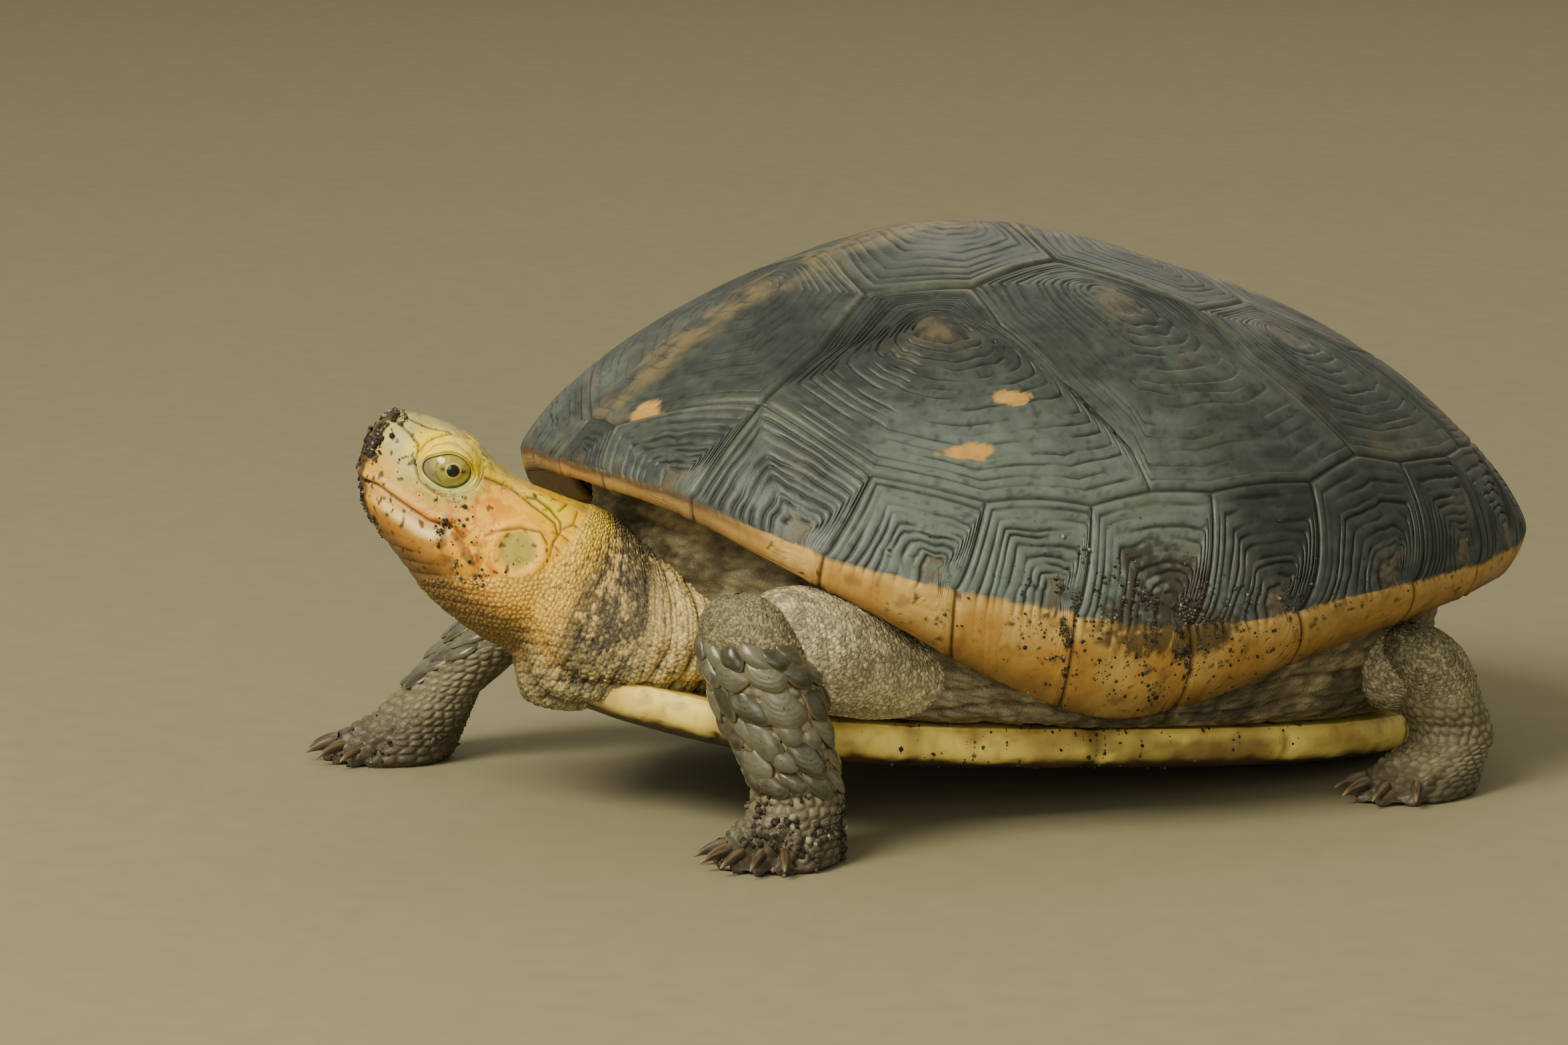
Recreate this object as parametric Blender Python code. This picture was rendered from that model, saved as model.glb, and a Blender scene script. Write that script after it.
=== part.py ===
"""A yellow-margined box turtle, life size, standing on four feet with its head raised to its right.

The head is towards -Y, the turtle's left side is +X and the floor is Z = 0. Lengths are in metres,
most of them written as millimetres times MM. Every body is a ball whose vertices are moved on to a
formula for its surface, and neighbours are cut back to leave GAP between them.
"""

import math

import bmesh
import bpy
from mathutils import Euler, Matrix, Vector

MM = 0.001
GAP = 0.3 * MM  # left between two bodies that meet

# The shell, in its own frame: plan centre at the height of the rim beside the bridge
SHELL_AT = Vector((0.0, 7.6, 31.5)) * MM
SHELL_PITCH = math.radians(-5.0)  # nose up
FRONT_REACH = 75.0 * MM
REAR_REACH = 85.0 * MM
HALF_WIDTH = 60.2 * MM
PLAN_POWER = 2.53
DOME_TOP = 53.2 * MM
DOME_CENTRE_Y = -4.9 * MM
DOME_ROUND = 1.06
DOME_FALL = 1.51
KEEL_RISE = 1.6 * MM
KEEL_WIDTH = 7.0 * MM
# swells and dips of the back under the vertebral scutes: place along the shell, length and rise
BACK_SWELLS = ((-22.0, 13.0, 1.5), (27.0, 14.0, -1.5), (62.0, 14.0, 1.8))
WALL = 3.0 * MM
LIP_RISE = 1.0 * MM
TUCK_POWER = 1.8  # how late the marginals' lower side turns inwards

# The rim and the marginals' lower side, every 20 degrees from straight ahead to straight behind:
# height of the rim, drop to the lowest edge, how far that is tucked in, and the ledge under it
RIM_STATIONS = (
    (16.0, 2.6, 0.8, 8.0),
    (15.2, 3.4, 1.0, 8.0),
    (8.6, 5.6, 1.6, 7.0),
    (4.2, 13.0, 6.0, 3.5),
    (0.9, 15.8, 9.0, 1.5),
    (1.4, 13.6, 9.0, 1.5),
    (5.6, 10.0, 6.5, 3.0),
    (9.0, 6.0, 3.0, 6.0),
    (12.2, 4.8, 1.5, 8.0),
    (13.6, 4.6, 1.0, 8.0),
)

# The plastron, in the shell's frame
PLASTRON_CENTRE_Y = 1.0 * MM
PLASTRON_REACH = 74.0 * MM
PLASTRON_HALF_WIDTH = 44.5 * MM
PLASTRON_POWER = 2.4
PLASTRON_TOP = -18.0 * MM
PLASTRON_HINGE_Y = -6.0 * MM
# how far in from the outline, and how far below the top, each step of the edge lies
PLASTRON_EDGE = ((3.2, 0.0), (0.9, 0.5), (0.0, 2.6), (0.7, 4.8), (3.4, 6.4), (13.0, 7.5))
GULAR_LIFT = 2.6 * MM  # the upturned front edge
GULAR_START = (48.0 * MM, 76.0 * MM)

# The head, in its own frame: between the eyes, the snout towards -Y
HEAD_AT = Vector((-12.6, -79.6, 51.9)) * MM
HEAD_TURN = Euler((math.radians(-29.0), 0.0, math.radians(-28.0)))
# forward of the eyes, crown, throat and half width
HEAD_PROFILE = (
    (15.1, -0.4, -1.4, 0.6),
    (14.6, 1.6, -5.0, 3.6),
    (12.8, 3.7, -8.8, 5.5),
    (9.6, 4.9, -12.2, 7.2),
    (5.0, 5.7, -14.8, 8.9),
    (1.0, 5.8, -16.6, 10.1),
    (-4.0, 5.0, -18.6, 11.3),
    (-9.0, 4.5, -19.8, 12.3),
    (-15.0, 4.6, -20.5, 12.6),
    (-20.0, 4.8, -20.8, 12.2),
)
HEAD_SQUARENESS = 2.25
SNOUT_CROWDING = 1.35  # above 1, cross-sections crowd towards the tip of the snout
EYE_AT = Vector((6.3, -1.6, 0.6)) * MM
EYE_RADIUS = 4.3 * MM
JAW_TOP = -7.4 * MM
JAW_CORNER_BACK = 3.5 * MM  # behind the eyes
JAW_SLANT = 0.35

# Flesh tubes: centre, half width, half height, pitch and turn of each cross-section
NECK = (
    (-6.1, -67.4, 35.2, 12.2, 12.8, -29.0, -28.0),
    (-5.2, -63.9, 30.2, 15.2, 15.6, -24.0, -16.0),
    (0.5, -55.5, 29.0, 21.5, 11.5, -10.0, -6.0),
    (1.0, -44.5, 29.0, 22.0, 10.5, 0.0, 0.0),
    (0.0, -31.0, 30.0, 15.0, 8.5, 0.0, 0.0),
)
LEFT_UPPER_ARM = (
    (24.0, -11.4, 22.0, 5.0, 4.6, 0.0, 35.0),
    (31.0, -21.4, 22.5, 8.0, 6.0, 0.0, 32.0),
    (37.5, -33.4, 25.5, 9.2, 7.6, 0.0, 25.0),
    (41.5, -44.4, 29.5, 9.2, 9.4, 0.0, 15.0),
    (42.6, -54.2, 31.2, 8.0, 8.6, 0.0, 8.0),
    (42.5, -60.3, 31.0, 4.0, 4.0, 0.0, 5.0),
)
RIGHT_UPPER_ARM = (
    (-24.0, -11.4, 22.0, 5.0, 4.6, 0.0, -35.0),
    (-31.0, -21.4, 22.5, 8.0, 6.0, 0.0, -32.0),
    (-37.5, -31.4, 24.0, 9.0, 7.0, 0.0, -25.0),
    (-41.5, -40.4, 25.0, 8.8, 8.0, 0.0, -15.0),
    (-43.5, -48.4, 25.0, 7.0, 7.2, 0.0, -10.0),
    (-44.0, -53.4, 25.0, 3.5, 3.5, 0.0, -8.0),
)
LEFT_THIGH = (
    (15.0, 58.0, 18.5, 5.0, 4.5, 0.0, 90.0),
    (24.0, 58.0, 19.0, 8.0, 6.8, 0.0, 90.0),
    (35.0, 57.0, 19.0, 8.5, 7.2, 0.0, 90.0),
    (44.0, 56.5, 18.5, 7.6, 6.8, 0.0, 90.0),
    (50.0, 56.5, 18.5, 4.0, 4.0, 0.0, 90.0),
)
TAIL = (
    (0.0, 60.0, 20.5, 6.0, 5.0, 0.0, 0.0),
    (1.0, 70.0, 19.0, 5.4, 4.8, -10.0, -14.0),
    (4.5, 78.0, 16.5, 4.0, 3.6, -20.0, -34.0),
    (10.0, 83.5, 13.5, 2.6, 2.5, -22.0, -54.0),
    (15.5, 86.0, 11.0, 1.3, 1.2, -20.0, -68.0),
    (17.5, 86.6, 10.3, 0.5, 0.5, -18.0, -73.0),
)

# Forearms and shanks stand on their feet: elbow or knee, wrist or ankle, sole, and toe direction
LEFT_FORELEG = ((42.0, -60.6, 39.8), (47.6, -53.6, 9.0), (48.6, -55.2, 0.0), -22.0)
RIGHT_FORELEG = ((-43.4, -45.0, 30.5), (-49.0, -66.0, 10.5), (-50.5, -71.0, 0.0), 18.0)
LEFT_HINDLEG = ((46.0, 56.0, 26.0), (48.5, 62.0, 8.5), (49.4, 58.4, 0.0), -18.0)
# share of the way down, half width and half length of each cross-section
FORELEG_GIRTH = (
    (0.0, 0.6, 0.6), (0.04, 4.4, 4.0), (0.14, 7.2, 6.6), (0.33, 8.5, 7.8),
    (0.6, 8.0, 7.3), (0.85, 6.9, 6.5), (1.0, 6.7, 6.4),
)
HINDLEG_GIRTH = (
    (0.0, 0.6, 0.6), (0.08, 4.2, 4.2), (0.3, 6.6, 6.8), (0.65, 6.6, 6.8), (1.0, 6.0, 6.4),
)
# share of the way from wrist to sole, half width, half length and step forward of the foot
FOREFOOT = ((0.35, 7.3, 7.4, 1.0), (0.7, 8.3, 9.3, 2.6), (0.9, 8.5, 9.9, 3.2), (1.0, 7.9, 9.4, 3.2))
HINDFOOT = ((0.35, 6.8, 8.2, 2.0), (0.7, 7.5, 10.6, 4.4), (0.9, 7.7, 11.4, 5.0), (1.0, 7.2, 10.8, 5.0))
FORE_TOES = 5
HIND_TOES = 4
TOE_DEPTH = 0.05
TOE_SPREAD = 0.9  # radians past the claws that the lobes also cover
CLAW_LENGTH = 4.6 * MM
CLAW_RADIUS = 1.0 * MM
CLAW_TIP = 0.15 * MM
CLAW_HEIGHT = 2.9 * MM
CLAW_DROOP = math.radians(15.0)
CLAW_FAN = math.radians(50.0)
CLAW_SPLAY = 0.8  # how much of its place on the fan each claw turns outwards
CLAW_SHOWN = 0.3  # how far its middle stands in front of the toe, as a share of its length


# ---------------------------------------------------------------- scene and materials

def clear_scene():
    for thing in list(bpy.data.objects):
        bpy.data.objects.remove(thing, do_unlink=True)


def new_collection(name):
    collection = bpy.data.collections.new(name)
    bpy.context.scene.collection.children.link(collection)
    return collection


def new_material(name, colour, roughness):
    material = bpy.data.materials.new(name)
    material.use_nodes = True
    shader = material.node_tree.nodes["Principled BSDF"]
    shader.inputs["Base Color"].default_value = (*colour, 1.0)
    shader.inputs["Roughness"].default_value = roughness
    shader.inputs["Metallic"].default_value = 0.0
    return material


clear_scene()
MODEL = new_collection("box_turtle")
CUTTERS = new_collection("cutters")
HORN_DARK = new_material("carapace_horn", (0.035, 0.038, 0.034), 0.42)
HORN_PALE = new_material("plastron_horn", (0.42, 0.27, 0.07), 0.45)
HEAD_SKIN = new_material("head_skin", (0.55, 0.27, 0.07), 0.4)
NECK_SKIN = new_material("neck_skin", (0.25, 0.15, 0.05), 0.55)
LEG_SKIN = new_material("leg_skin", (0.07, 0.055, 0.03), 0.5)
CLAW_HORN = new_material("claw_horn", (0.05, 0.04, 0.03), 0.4)
EYE_WET = new_material("eye", (0.25, 0.27, 0.06), 0.08)


# ---------------------------------------------------------------- shaping helpers

def new_object(name, mesh, collection, parent=None):
    thing = bpy.data.objects.new(name, mesh)
    collection.objects.link(thing)
    thing.parent = parent
    return thing


def new_frame(name, location, rotation):
    frame = new_object(name, None, MODEL)
    frame.location = location
    frame.rotation_euler = rotation
    return frame


def wrap(name, around, along, place, material, parent=None):
    """A closed body: a ball whose vertices move to place(angle, row), row 0 and `along` its poles."""
    ball = bmesh.new()
    bmesh.ops.create_uvsphere(ball, u_segments=around, v_segments=along, radius=1.0)
    for vertex in ball.verts:
        row = round(math.acos(max(-1.0, min(1.0, vertex.co.z))) / math.pi * along)
        vertex.co = place(math.atan2(vertex.co.y, vertex.co.x), row)
    if ball.calc_volume(signed=True) < 0.0:
        bmesh.ops.reverse_faces(ball, faces=ball.faces)
    mesh = bpy.data.meshes.new(name)
    ball.to_mesh(mesh)
    ball.free()
    mesh.shade_smooth()
    mesh.materials.append(material)
    return new_object(name, mesh, MODEL, parent)


def blend(edges, value):
    """0 below the first edge, 1 above the second and smooth between them."""
    share = max(0.0, min(1.0, (value - edges[0]) / (edges[1] - edges[0])))
    return share * share * (3.0 - 2.0 * share)


def spline(rows, share):
    """The row of sizes at a share of the way along, on a smooth curve through the rows."""
    place = share * (len(rows) - 1)
    left = min(int(place), len(rows) - 2)
    t = place - left
    before, start, end, after = (
        rows[max(0, min(len(rows) - 1, left + step))] for step in (-1, 0, 1, 2)
    )
    return [
        b + 0.5 * t * (c - a + t * (2 * a - 5 * b + 4 * c - d + t * (3 * (b - c) + d - a)))
        for a, b, c, d in zip(before, start, end, after)
    ]


def rounded(angle, half_width, half_height, power=2.0):
    """A point on a superellipse."""
    across, over = math.cos(angle), math.sin(angle)
    radius = (abs(across) ** power + abs(over) ** power) ** (-1.0 / power)
    return half_width * radius * across, half_height * radius * over


def cut(body, *cutters):
    """Takes the cutters away from the body."""
    for cutter in cutters:
        modifier = body.modifiers.new("cut_" + cutter.name, "BOOLEAN")
        modifier.operation = "DIFFERENCE"
        modifier.solver = "EXACT"
        modifier.object = cutter


def hide(cutter):
    cutter.hide_render = True
    cutter.display_type = "WIRE"


def room_for(body):
    """A cutter: the body swollen by the gap that its neighbours leave to it."""
    cutter = new_object(body.name + "_room", body.data.copy(), CUTTERS, body.parent)
    cutter.location = body.location
    cutter.rotation_euler = body.rotation_euler
    swell = cutter.modifiers.new("swell", "DISPLACE")
    swell.strength = GAP
    swell.mid_level = 0.0
    hide(cutter)
    return cutter


def block(name, low, high, parent=None, slant=0.0):
    """A cutter box between two corners, its rear wall moving back by slant for each step down."""
    box = bmesh.new()
    bmesh.ops.create_cube(box, size=1.0)
    for vertex in box.verts:
        share = vertex.co + Vector((0.5, 0.5, 0.5))
        vertex.co = Vector(a + (b - a) * s for a, b, s in zip(low, high, share))
        if share.y > 0.5:
            vertex.co.y += slant * (high[2] - vertex.co.z)
    mesh = bpy.data.meshes.new(name)
    box.to_mesh(mesh)
    box.free()
    cutter = new_object(name, mesh, CUTTERS, parent)
    hide(cutter)
    return cutter


# ---------------------------------------------------------------- shell

def plan(angle, inset=0.0):
    """The shell's outline from above, by the angle from straight ahead round to the left."""
    ahead, left = math.cos(angle), math.sin(angle)
    reach = FRONT_REACH if ahead > 0.0 else REAR_REACH
    radius = (
        (abs(ahead) / (reach - inset)) ** PLAN_POWER
        + (abs(left) / (HALF_WIDTH - inset)) ** PLAN_POWER
    ) ** (-1.0 / PLAN_POWER)
    return Vector((radius * left, -radius * ahead, 0.0))


def rim_sizes(angle):
    """Rim height, drop, tuck and ledge of the marginals at an angle."""
    return [size * MM for size in spline(RIM_STATIONS, abs(angle) / math.pi)]


def dome(angle, share, inset=0.0):
    """The domed top, from its apex at share 0 to the rim at share 1."""
    turn = share * math.pi / 2.0
    spread = math.sin(turn) ** DOME_ROUND
    point = plan(angle, inset) * spread
    point.y += DOME_CENTRE_Y * (1.0 - spread)
    rim = rim_sizes(angle)[0]
    point.z = rim + (DOME_TOP - inset - rim) * max(0.0, math.cos(turn)) ** DOME_FALL
    height = math.sqrt(max(0.0, point.z - rim) / DOME_TOP)
    for place, length, rise in BACK_SWELLS:
        point.z += rise * MM * height * math.exp(-(((point.y / MM - place) / length) ** 2))
    return point


def keel(point, share):
    """How far the blunt ridge along the back stands above the dome."""
    along = 1.0 - blend((0.6, 1.0), share)
    return KEEL_RISE * along * math.exp(-((point.x / KEEL_WIDTH) ** 2))


def lower_edge(angle, share):
    """The marginals below the rim: 0 at the rim, 1 at the lowest edge, 2 at the inner lip."""
    height, drop, tuck, ledge = rim_sizes(angle)
    under = max(0.0, share - 1.0)
    side = min(1.0, share)
    point = plan(angle, tuck * side**TUCK_POWER + ledge * under)
    point.z = height - drop * side + LIP_RISE * under
    return point


OUTER_ROWS, EDGE_ROWS, INNER_ROWS = 11, 4, 6


def carapace_point(angle, row):
    if row <= OUTER_ROWS:
        share = row / OUTER_ROWS
        point = dome(angle, share)
        point.z += keel(point, share)
        return point
    if row <= OUTER_ROWS + EDGE_ROWS:
        return lower_edge(angle, 2.0 * (row - OUTER_ROWS) / EDGE_ROWS)
    rows_left = OUTER_ROWS + EDGE_ROWS + INNER_ROWS - row
    return dome(angle, rows_left / (INNER_ROWS - 1), WALL)


def make_carapace(shell):
    rows = OUTER_ROWS + EDGE_ROWS + INNER_ROWS
    return wrap("carapace", 44, rows, carapace_point, HORN_DARK, shell)


def plastron_lift(y):
    return GULAR_LIFT * blend(GULAR_START, -y)


def plastron_point(angle, row):
    """A plate with a rounded edge and flat faces, in steps from its upper to its lower centre."""
    step = max(0, min(len(PLASTRON_EDGE) - 1, row - 1))
    inset, depth = (size * MM for size in PLASTRON_EDGE[step])
    at_centre = row in (0, len(PLASTRON_EDGE) + 1)
    x, y = rounded(angle, PLASTRON_HALF_WIDTH - inset, PLASTRON_REACH - inset, PLASTRON_POWER)
    if at_centre:
        x = y = 0.0
    y += PLASTRON_CENTRE_Y
    return Vector((x, y, PLASTRON_TOP - depth + plastron_lift(y)))


def make_plastron(shell):
    """Two lobes that meet at the hinge across the belly."""
    far = 200.0 * MM
    lobes = []
    for name, low_y, high_y in (
        ("plastron_front", PLASTRON_HINGE_Y - GAP / 2.0, far),
        ("plastron_rear", -far, PLASTRON_HINGE_Y + GAP / 2.0),
    ):
        lobe = wrap(name, 32, len(PLASTRON_EDGE) + 1, plastron_point, HORN_PALE, shell)
        cut(lobe, block(name + "_other_side", (-far, low_y, -far), (far, high_y, far), shell))
        lobes.append(lobe)
    return lobes


TRUNK_TOP_ROWS = 6
TRUNK_SHRINK = 0.97
TRUNK_SHRINK_CENTRE = Vector((0.0, 0.0, 12.0)) * MM
# below the lip: how far out, and how far down towards the plastron, each step of the body lies
TRUNK_BELLY = ((1.0, 0.0), (0.985, 0.5), (0.95, 0.9), (0.8, 1.0), (0.0, 1.0))


def trunk_point(angle, row):
    """The body inside the shell: it fills the dome, passes the lips and ends on the plastron."""
    if row <= TRUNK_TOP_ROWS:
        point = dome(angle, row / TRUNK_TOP_ROWS, WALL)
    else:
        point = lower_edge(angle, 2.0)
    point = TRUNK_SHRINK_CENTRE + (point - TRUNK_SHRINK_CENTRE) * TRUNK_SHRINK
    if row > TRUNK_TOP_ROWS:
        lip = point.z
        spread, down = TRUNK_BELLY[row - TRUNK_TOP_ROWS - 1]
        point *= spread
        belly = PLASTRON_TOP + GAP + plastron_lift(point.y)
        point.z = lip + (belly - lip) * down
    return point


def make_trunk(shell):
    return wrap("trunk", 28, TRUNK_TOP_ROWS + len(TRUNK_BELLY), trunk_point, NECK_SKIN, shell)


# ---------------------------------------------------------------- head

HEAD_ROWS = 17
EYE_ROWS = 8


def head_point(angle, row, rows=HEAD_ROWS):
    """Cross-sections from the tip of the snout to the flat face where the neck begins."""
    share = min(1.0, row / (rows - 1)) ** SNOUT_CROWDING
    ahead, crown, throat, half_width = (size * MM for size in spline(HEAD_PROFILE, share))
    spread = 0.0 if row in (0, rows) else 1.0
    x, z = rounded(angle, half_width, (crown - throat) / 2.0, HEAD_SQUARENESS)
    return Vector((x * spread, -ahead, (crown + throat) / 2.0 + z * spread))


def jaw_block(name, grow, pose):
    """The space of the lower jaw, from the mouth line down and from the corner forward."""
    low = (-30.0 * MM, -30.0 * MM, -40.0 * MM)
    high = (30.0 * MM, JAW_CORNER_BACK + grow, JAW_TOP + grow)
    return block(name, low, high, pose, JAW_SLANT)


def make_head(pose):
    """Head, lower jaw and both eyeballs in their sockets."""
    head = wrap("head", 22, HEAD_ROWS, head_point, HEAD_SKIN, pose)
    jaw = wrap("lower_jaw", 22, HEAD_ROWS, head_point, HEAD_SKIN, pose)
    cut(head, jaw_block("jaw_room", GAP, pose))
    keep = jaw.modifiers.new("keep", "BOOLEAN")
    keep.operation = "INTERSECT"
    keep.solver = "EXACT"
    keep.object = jaw_block("jaw_space", 0.0, pose)
    for name, side in (("eye_left", 1.0), ("eye_right", -1.0)):
        eye = wrap(name, 14, EYE_ROWS, eye_point, EYE_WET, pose)
        eye.location = EYE_AT * Vector((side, 1.0, 1.0))
        cut(head, room_for(eye))
    return head


def eye_point(angle, row):
    turn = math.pi * row / EYE_ROWS
    around = math.sin(turn)
    return EYE_RADIUS * Vector((around * math.cos(angle), around * math.sin(angle), math.cos(turn)))


# ---------------------------------------------------------------- flesh

def make_tube(name, stations, around, rows, material):
    """A tube of flesh through cross-sections that each have a place, a size, a pitch and a turn."""

    def place(angle, row):
        share = max(0.0, min(1.0, (row - 1) / (rows - 2)))
        x, y, z, half_width, half_height, pitch, turn = spline(stations, share)
        across, over = rounded(angle, half_width, half_height)
        spread = 0.0 if row in (0, rows) else MM
        tilt = Euler((math.radians(pitch), 0.0, math.radians(turn))).to_matrix()
        return Vector((x, y, z)) * MM + tilt @ Vector((across, 0.0, over)) * spread

    return wrap(name, around, rows, place, material)


def mirrored(stations):
    """The same tube on the turtle's other side."""
    return tuple((-row[0], *row[1:6], -row[6]) for row in stations)


def heading(turn):
    """Unit vectors forward and to the side of a foot that points ahead, turned by an angle."""
    return Vector((math.sin(turn), -math.cos(turn), 0.0)), Vector((math.cos(turn), math.sin(turn), 0.0))


def level_ring(centre, angle, half_side, half_ahead, turn):
    ahead, side = heading(turn)
    across, along = rounded(angle, half_side, half_ahead)
    return centre + side * across + ahead * along


def make_column(name, leg, girth, around, rows):
    """A forearm or shank: level cross-sections from the elbow or knee down to the wrist or ankle."""
    top, joint, _, turn = leg
    top, joint = Vector(top) * MM, Vector(joint) * MM

    def place(angle, row):
        share, half_side, half_ahead = spline(girth, max(0.0, min(1.0, (row - 1) / (rows - 2))))
        centre = top.lerp(joint, share)
        if row in (0, rows):
            return centre
        return level_ring(centre, angle, half_side * MM, half_ahead * MM, math.radians(-turn))

    return wrap(name, around, rows, place, LEG_SKIN)


def foot_sections(leg, girth, foot):
    """The wrist's cross-section, then the foot's own, with centre, half width and half length."""
    _, joint, sole, turn = leg
    joint, sole = Vector(joint) * MM, Vector(sole) * MM
    ahead, _ = heading(math.radians(-turn))
    start = joint + Vector((0.0, 0.0, -GAP))
    sections = [(start, girth[-1][1] * MM, girth[-1][2] * MM)]
    for share, half_side, half_ahead, step in foot:
        centre = start.lerp(sole, share) + ahead * step * MM
        sections.append((centre, half_side * MM, half_ahead * MM))
    return sections


def make_foot(name, leg, girth, foot, toes):
    """A short flat-soled foot whose front edge is lobed into toes."""
    sections = foot_sections(leg, girth, foot)
    turn = math.radians(-leg[3])
    rows = len(sections) + 1

    def place(angle, row):
        centre, half_side, half_ahead = sections[max(0, min(len(sections) - 1, row - 1))]
        if row in (0, rows):
            return centre
        low = (row - 1) / (len(sections) - 1)
        front = max(0.0, math.sin(angle)) ** 0.5
        lobes = math.cos((angle - math.pi / 2.0) * toes * math.pi / (2.0 * CLAW_FAN + TOE_SPREAD))
        swell = 1.0 + TOE_DEPTH * low * front * lobes
        return level_ring(centre, angle, half_side * swell, half_ahead * swell, turn)

    return wrap(name, 24, rows, place, LEG_SKIN)


def make_claws(name, leg, girth, foot, toes, foot_body):
    """A curved fan of pointed claws along the front edge of a foot."""
    centre, half_side, half_ahead = foot_sections(leg, girth, foot)[-2]
    turn = math.radians(-leg[3])
    ahead, side = heading(turn)
    room = room_for(foot_body)
    for toe in range(toes):
        spread = CLAW_FAN * (2.0 * toe / (toes - 1) - 1.0)
        root = level_ring(centre, math.pi / 2.0 - spread, half_side, half_ahead, turn)
        root.z = CLAW_HEIGHT
        outward = ahead * math.cos(spread * CLAW_SPLAY) + side * math.sin(spread * CLAW_SPLAY)
        point = (outward + Vector((0.0, 0.0, -math.tan(CLAW_DROOP)))).normalized()
        cone = bmesh.new()
        bmesh.ops.create_cone(
            cone, cap_ends=True, segments=6, radius1=CLAW_RADIUS, radius2=CLAW_TIP, depth=CLAW_LENGTH
        )
        mesh = bpy.data.meshes.new(f"{name}_{toe + 1}")
        cone.to_mesh(mesh)
        cone.free()
        mesh.materials.append(CLAW_HORN)
        claw = new_object(mesh.name, mesh, MODEL)
        claw.matrix_world = Matrix.Translation(root + point * CLAW_LENGTH * CLAW_SHOWN) @ (
            point.to_track_quat("Z", "Y").to_matrix().to_4x4()
        )
        cut(claw, room)


def make_leg(side, names, leg, girth, foot, toes):
    """A column, the foot under it and the claws, named for the side that they are on."""
    column_name, foot_name, claw_name = (f"{name}_{side}" for name in names)
    column = make_column(column_name, leg, girth, 16, 9)
    foot_body = make_foot(foot_name, leg, girth, foot, toes)
    make_claws(claw_name, leg, girth, foot, toes, foot_body)
    return column


# ---------------------------------------------------------------- the whole turtle

def make_turtle():
    shell = new_frame("shell_frame", SHELL_AT, (SHELL_PITCH, 0.0, 0.0))
    pose = new_frame("head_frame", HEAD_AT, HEAD_TURN)
    make_carapace(shell)
    plastron = make_plastron(shell)[0]
    trunk = make_trunk(shell)
    make_head(pose)

    neck = make_tube("neck", NECK, 22, 9, NECK_SKIN)
    tail = make_tube("tail", TAIL, 10, 9, LEG_SKIN)
    arms = {
        "left": make_tube("upper_arm_left", LEFT_UPPER_ARM, 14, 8, LEG_SKIN),
        "right": make_tube("upper_arm_right", RIGHT_UPPER_ARM, 14, 8, LEG_SKIN),
    }
    thighs = {
        "left": make_tube("thigh_left", LEFT_THIGH, 14, 7, LEG_SKIN),
        "right": make_tube("thigh_right", mirrored(LEFT_THIGH), 14, 7, LEG_SKIN),
    }
    hind_right = tuple((-x, y, z) for x, y, z in LEFT_HINDLEG[:3]) + (-LEFT_HINDLEG[3],)
    fore_names = ("forearm", "forefoot", "foreclaw")
    hind_names = ("shank", "hindfoot", "hindclaw")
    for side, fore, hind in (
        ("left", LEFT_FORELEG, LEFT_HINDLEG),
        ("right", RIGHT_FORELEG, hind_right),
    ):
        forearm = make_leg(side, fore_names, fore, FORELEG_GIRTH, FOREFOOT, FORE_TOES)
        shank = make_leg(side, hind_names, hind, HINDLEG_GIRTH, HINDFOOT, HIND_TOES)
        cut(arms[side], room_for(forearm), room_for(plastron))
        cut(thighs[side], room_for(shank))
        cut(trunk, room_for(arms[side]), room_for(thighs[side]))
    cut(trunk, room_for(neck), room_for(tail), room_for(plastron))
    cut(neck, room_for(plastron))


make_turtle()
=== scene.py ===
"""Looks of the yellow-margined box turtle: horn plates, scaly skin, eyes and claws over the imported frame.

Shapes are worked out in millimetres in the row frame: head towards -Y, left side +X, floor Z = 0.
Most surfaces are grids of points, rows by columns, pushed along their normals by small relief.
"""

import collections
import itertools
import math

import bpy
import numpy as np
from mathutils import Matrix, Vector


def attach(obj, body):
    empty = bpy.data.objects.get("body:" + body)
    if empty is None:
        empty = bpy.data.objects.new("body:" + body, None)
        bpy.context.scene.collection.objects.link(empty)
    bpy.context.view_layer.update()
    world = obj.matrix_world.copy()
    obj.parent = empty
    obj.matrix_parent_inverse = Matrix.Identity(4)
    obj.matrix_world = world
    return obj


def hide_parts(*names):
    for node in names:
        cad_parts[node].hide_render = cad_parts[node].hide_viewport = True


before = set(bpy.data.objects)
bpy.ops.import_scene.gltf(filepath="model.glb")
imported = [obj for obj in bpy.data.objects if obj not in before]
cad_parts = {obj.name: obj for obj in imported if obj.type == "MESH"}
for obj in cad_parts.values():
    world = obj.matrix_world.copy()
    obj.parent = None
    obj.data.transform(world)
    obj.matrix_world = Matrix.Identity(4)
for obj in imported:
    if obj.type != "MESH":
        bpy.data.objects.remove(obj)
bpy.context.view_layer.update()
MM = 0.001
COARSE = 1.0  # coarser grids while trying things out


# ---------------------------------------------------------------- numbers and noise

LATTICE_SIZE = 48
LATTICE = np.random.default_rng(11).random((LATTICE_SIZE, LATTICE_SIZE, LATTICE_SIZE, 3))


def lattice_at(cell):
    """Three random numbers for each cell of space."""
    x, y, z = np.moveaxis(cell % LATTICE_SIZE, -1, 0)
    return LATTICE[x, y, z]


def solid(points):
    """Points with three coordinates, a third one of zero added where there are two."""
    points = np.asarray(points, float)
    if points.shape[-1] == 3:
        return points
    return np.concatenate([points, np.zeros(points.shape[:-1] + (1,))], axis=-1)


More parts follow.
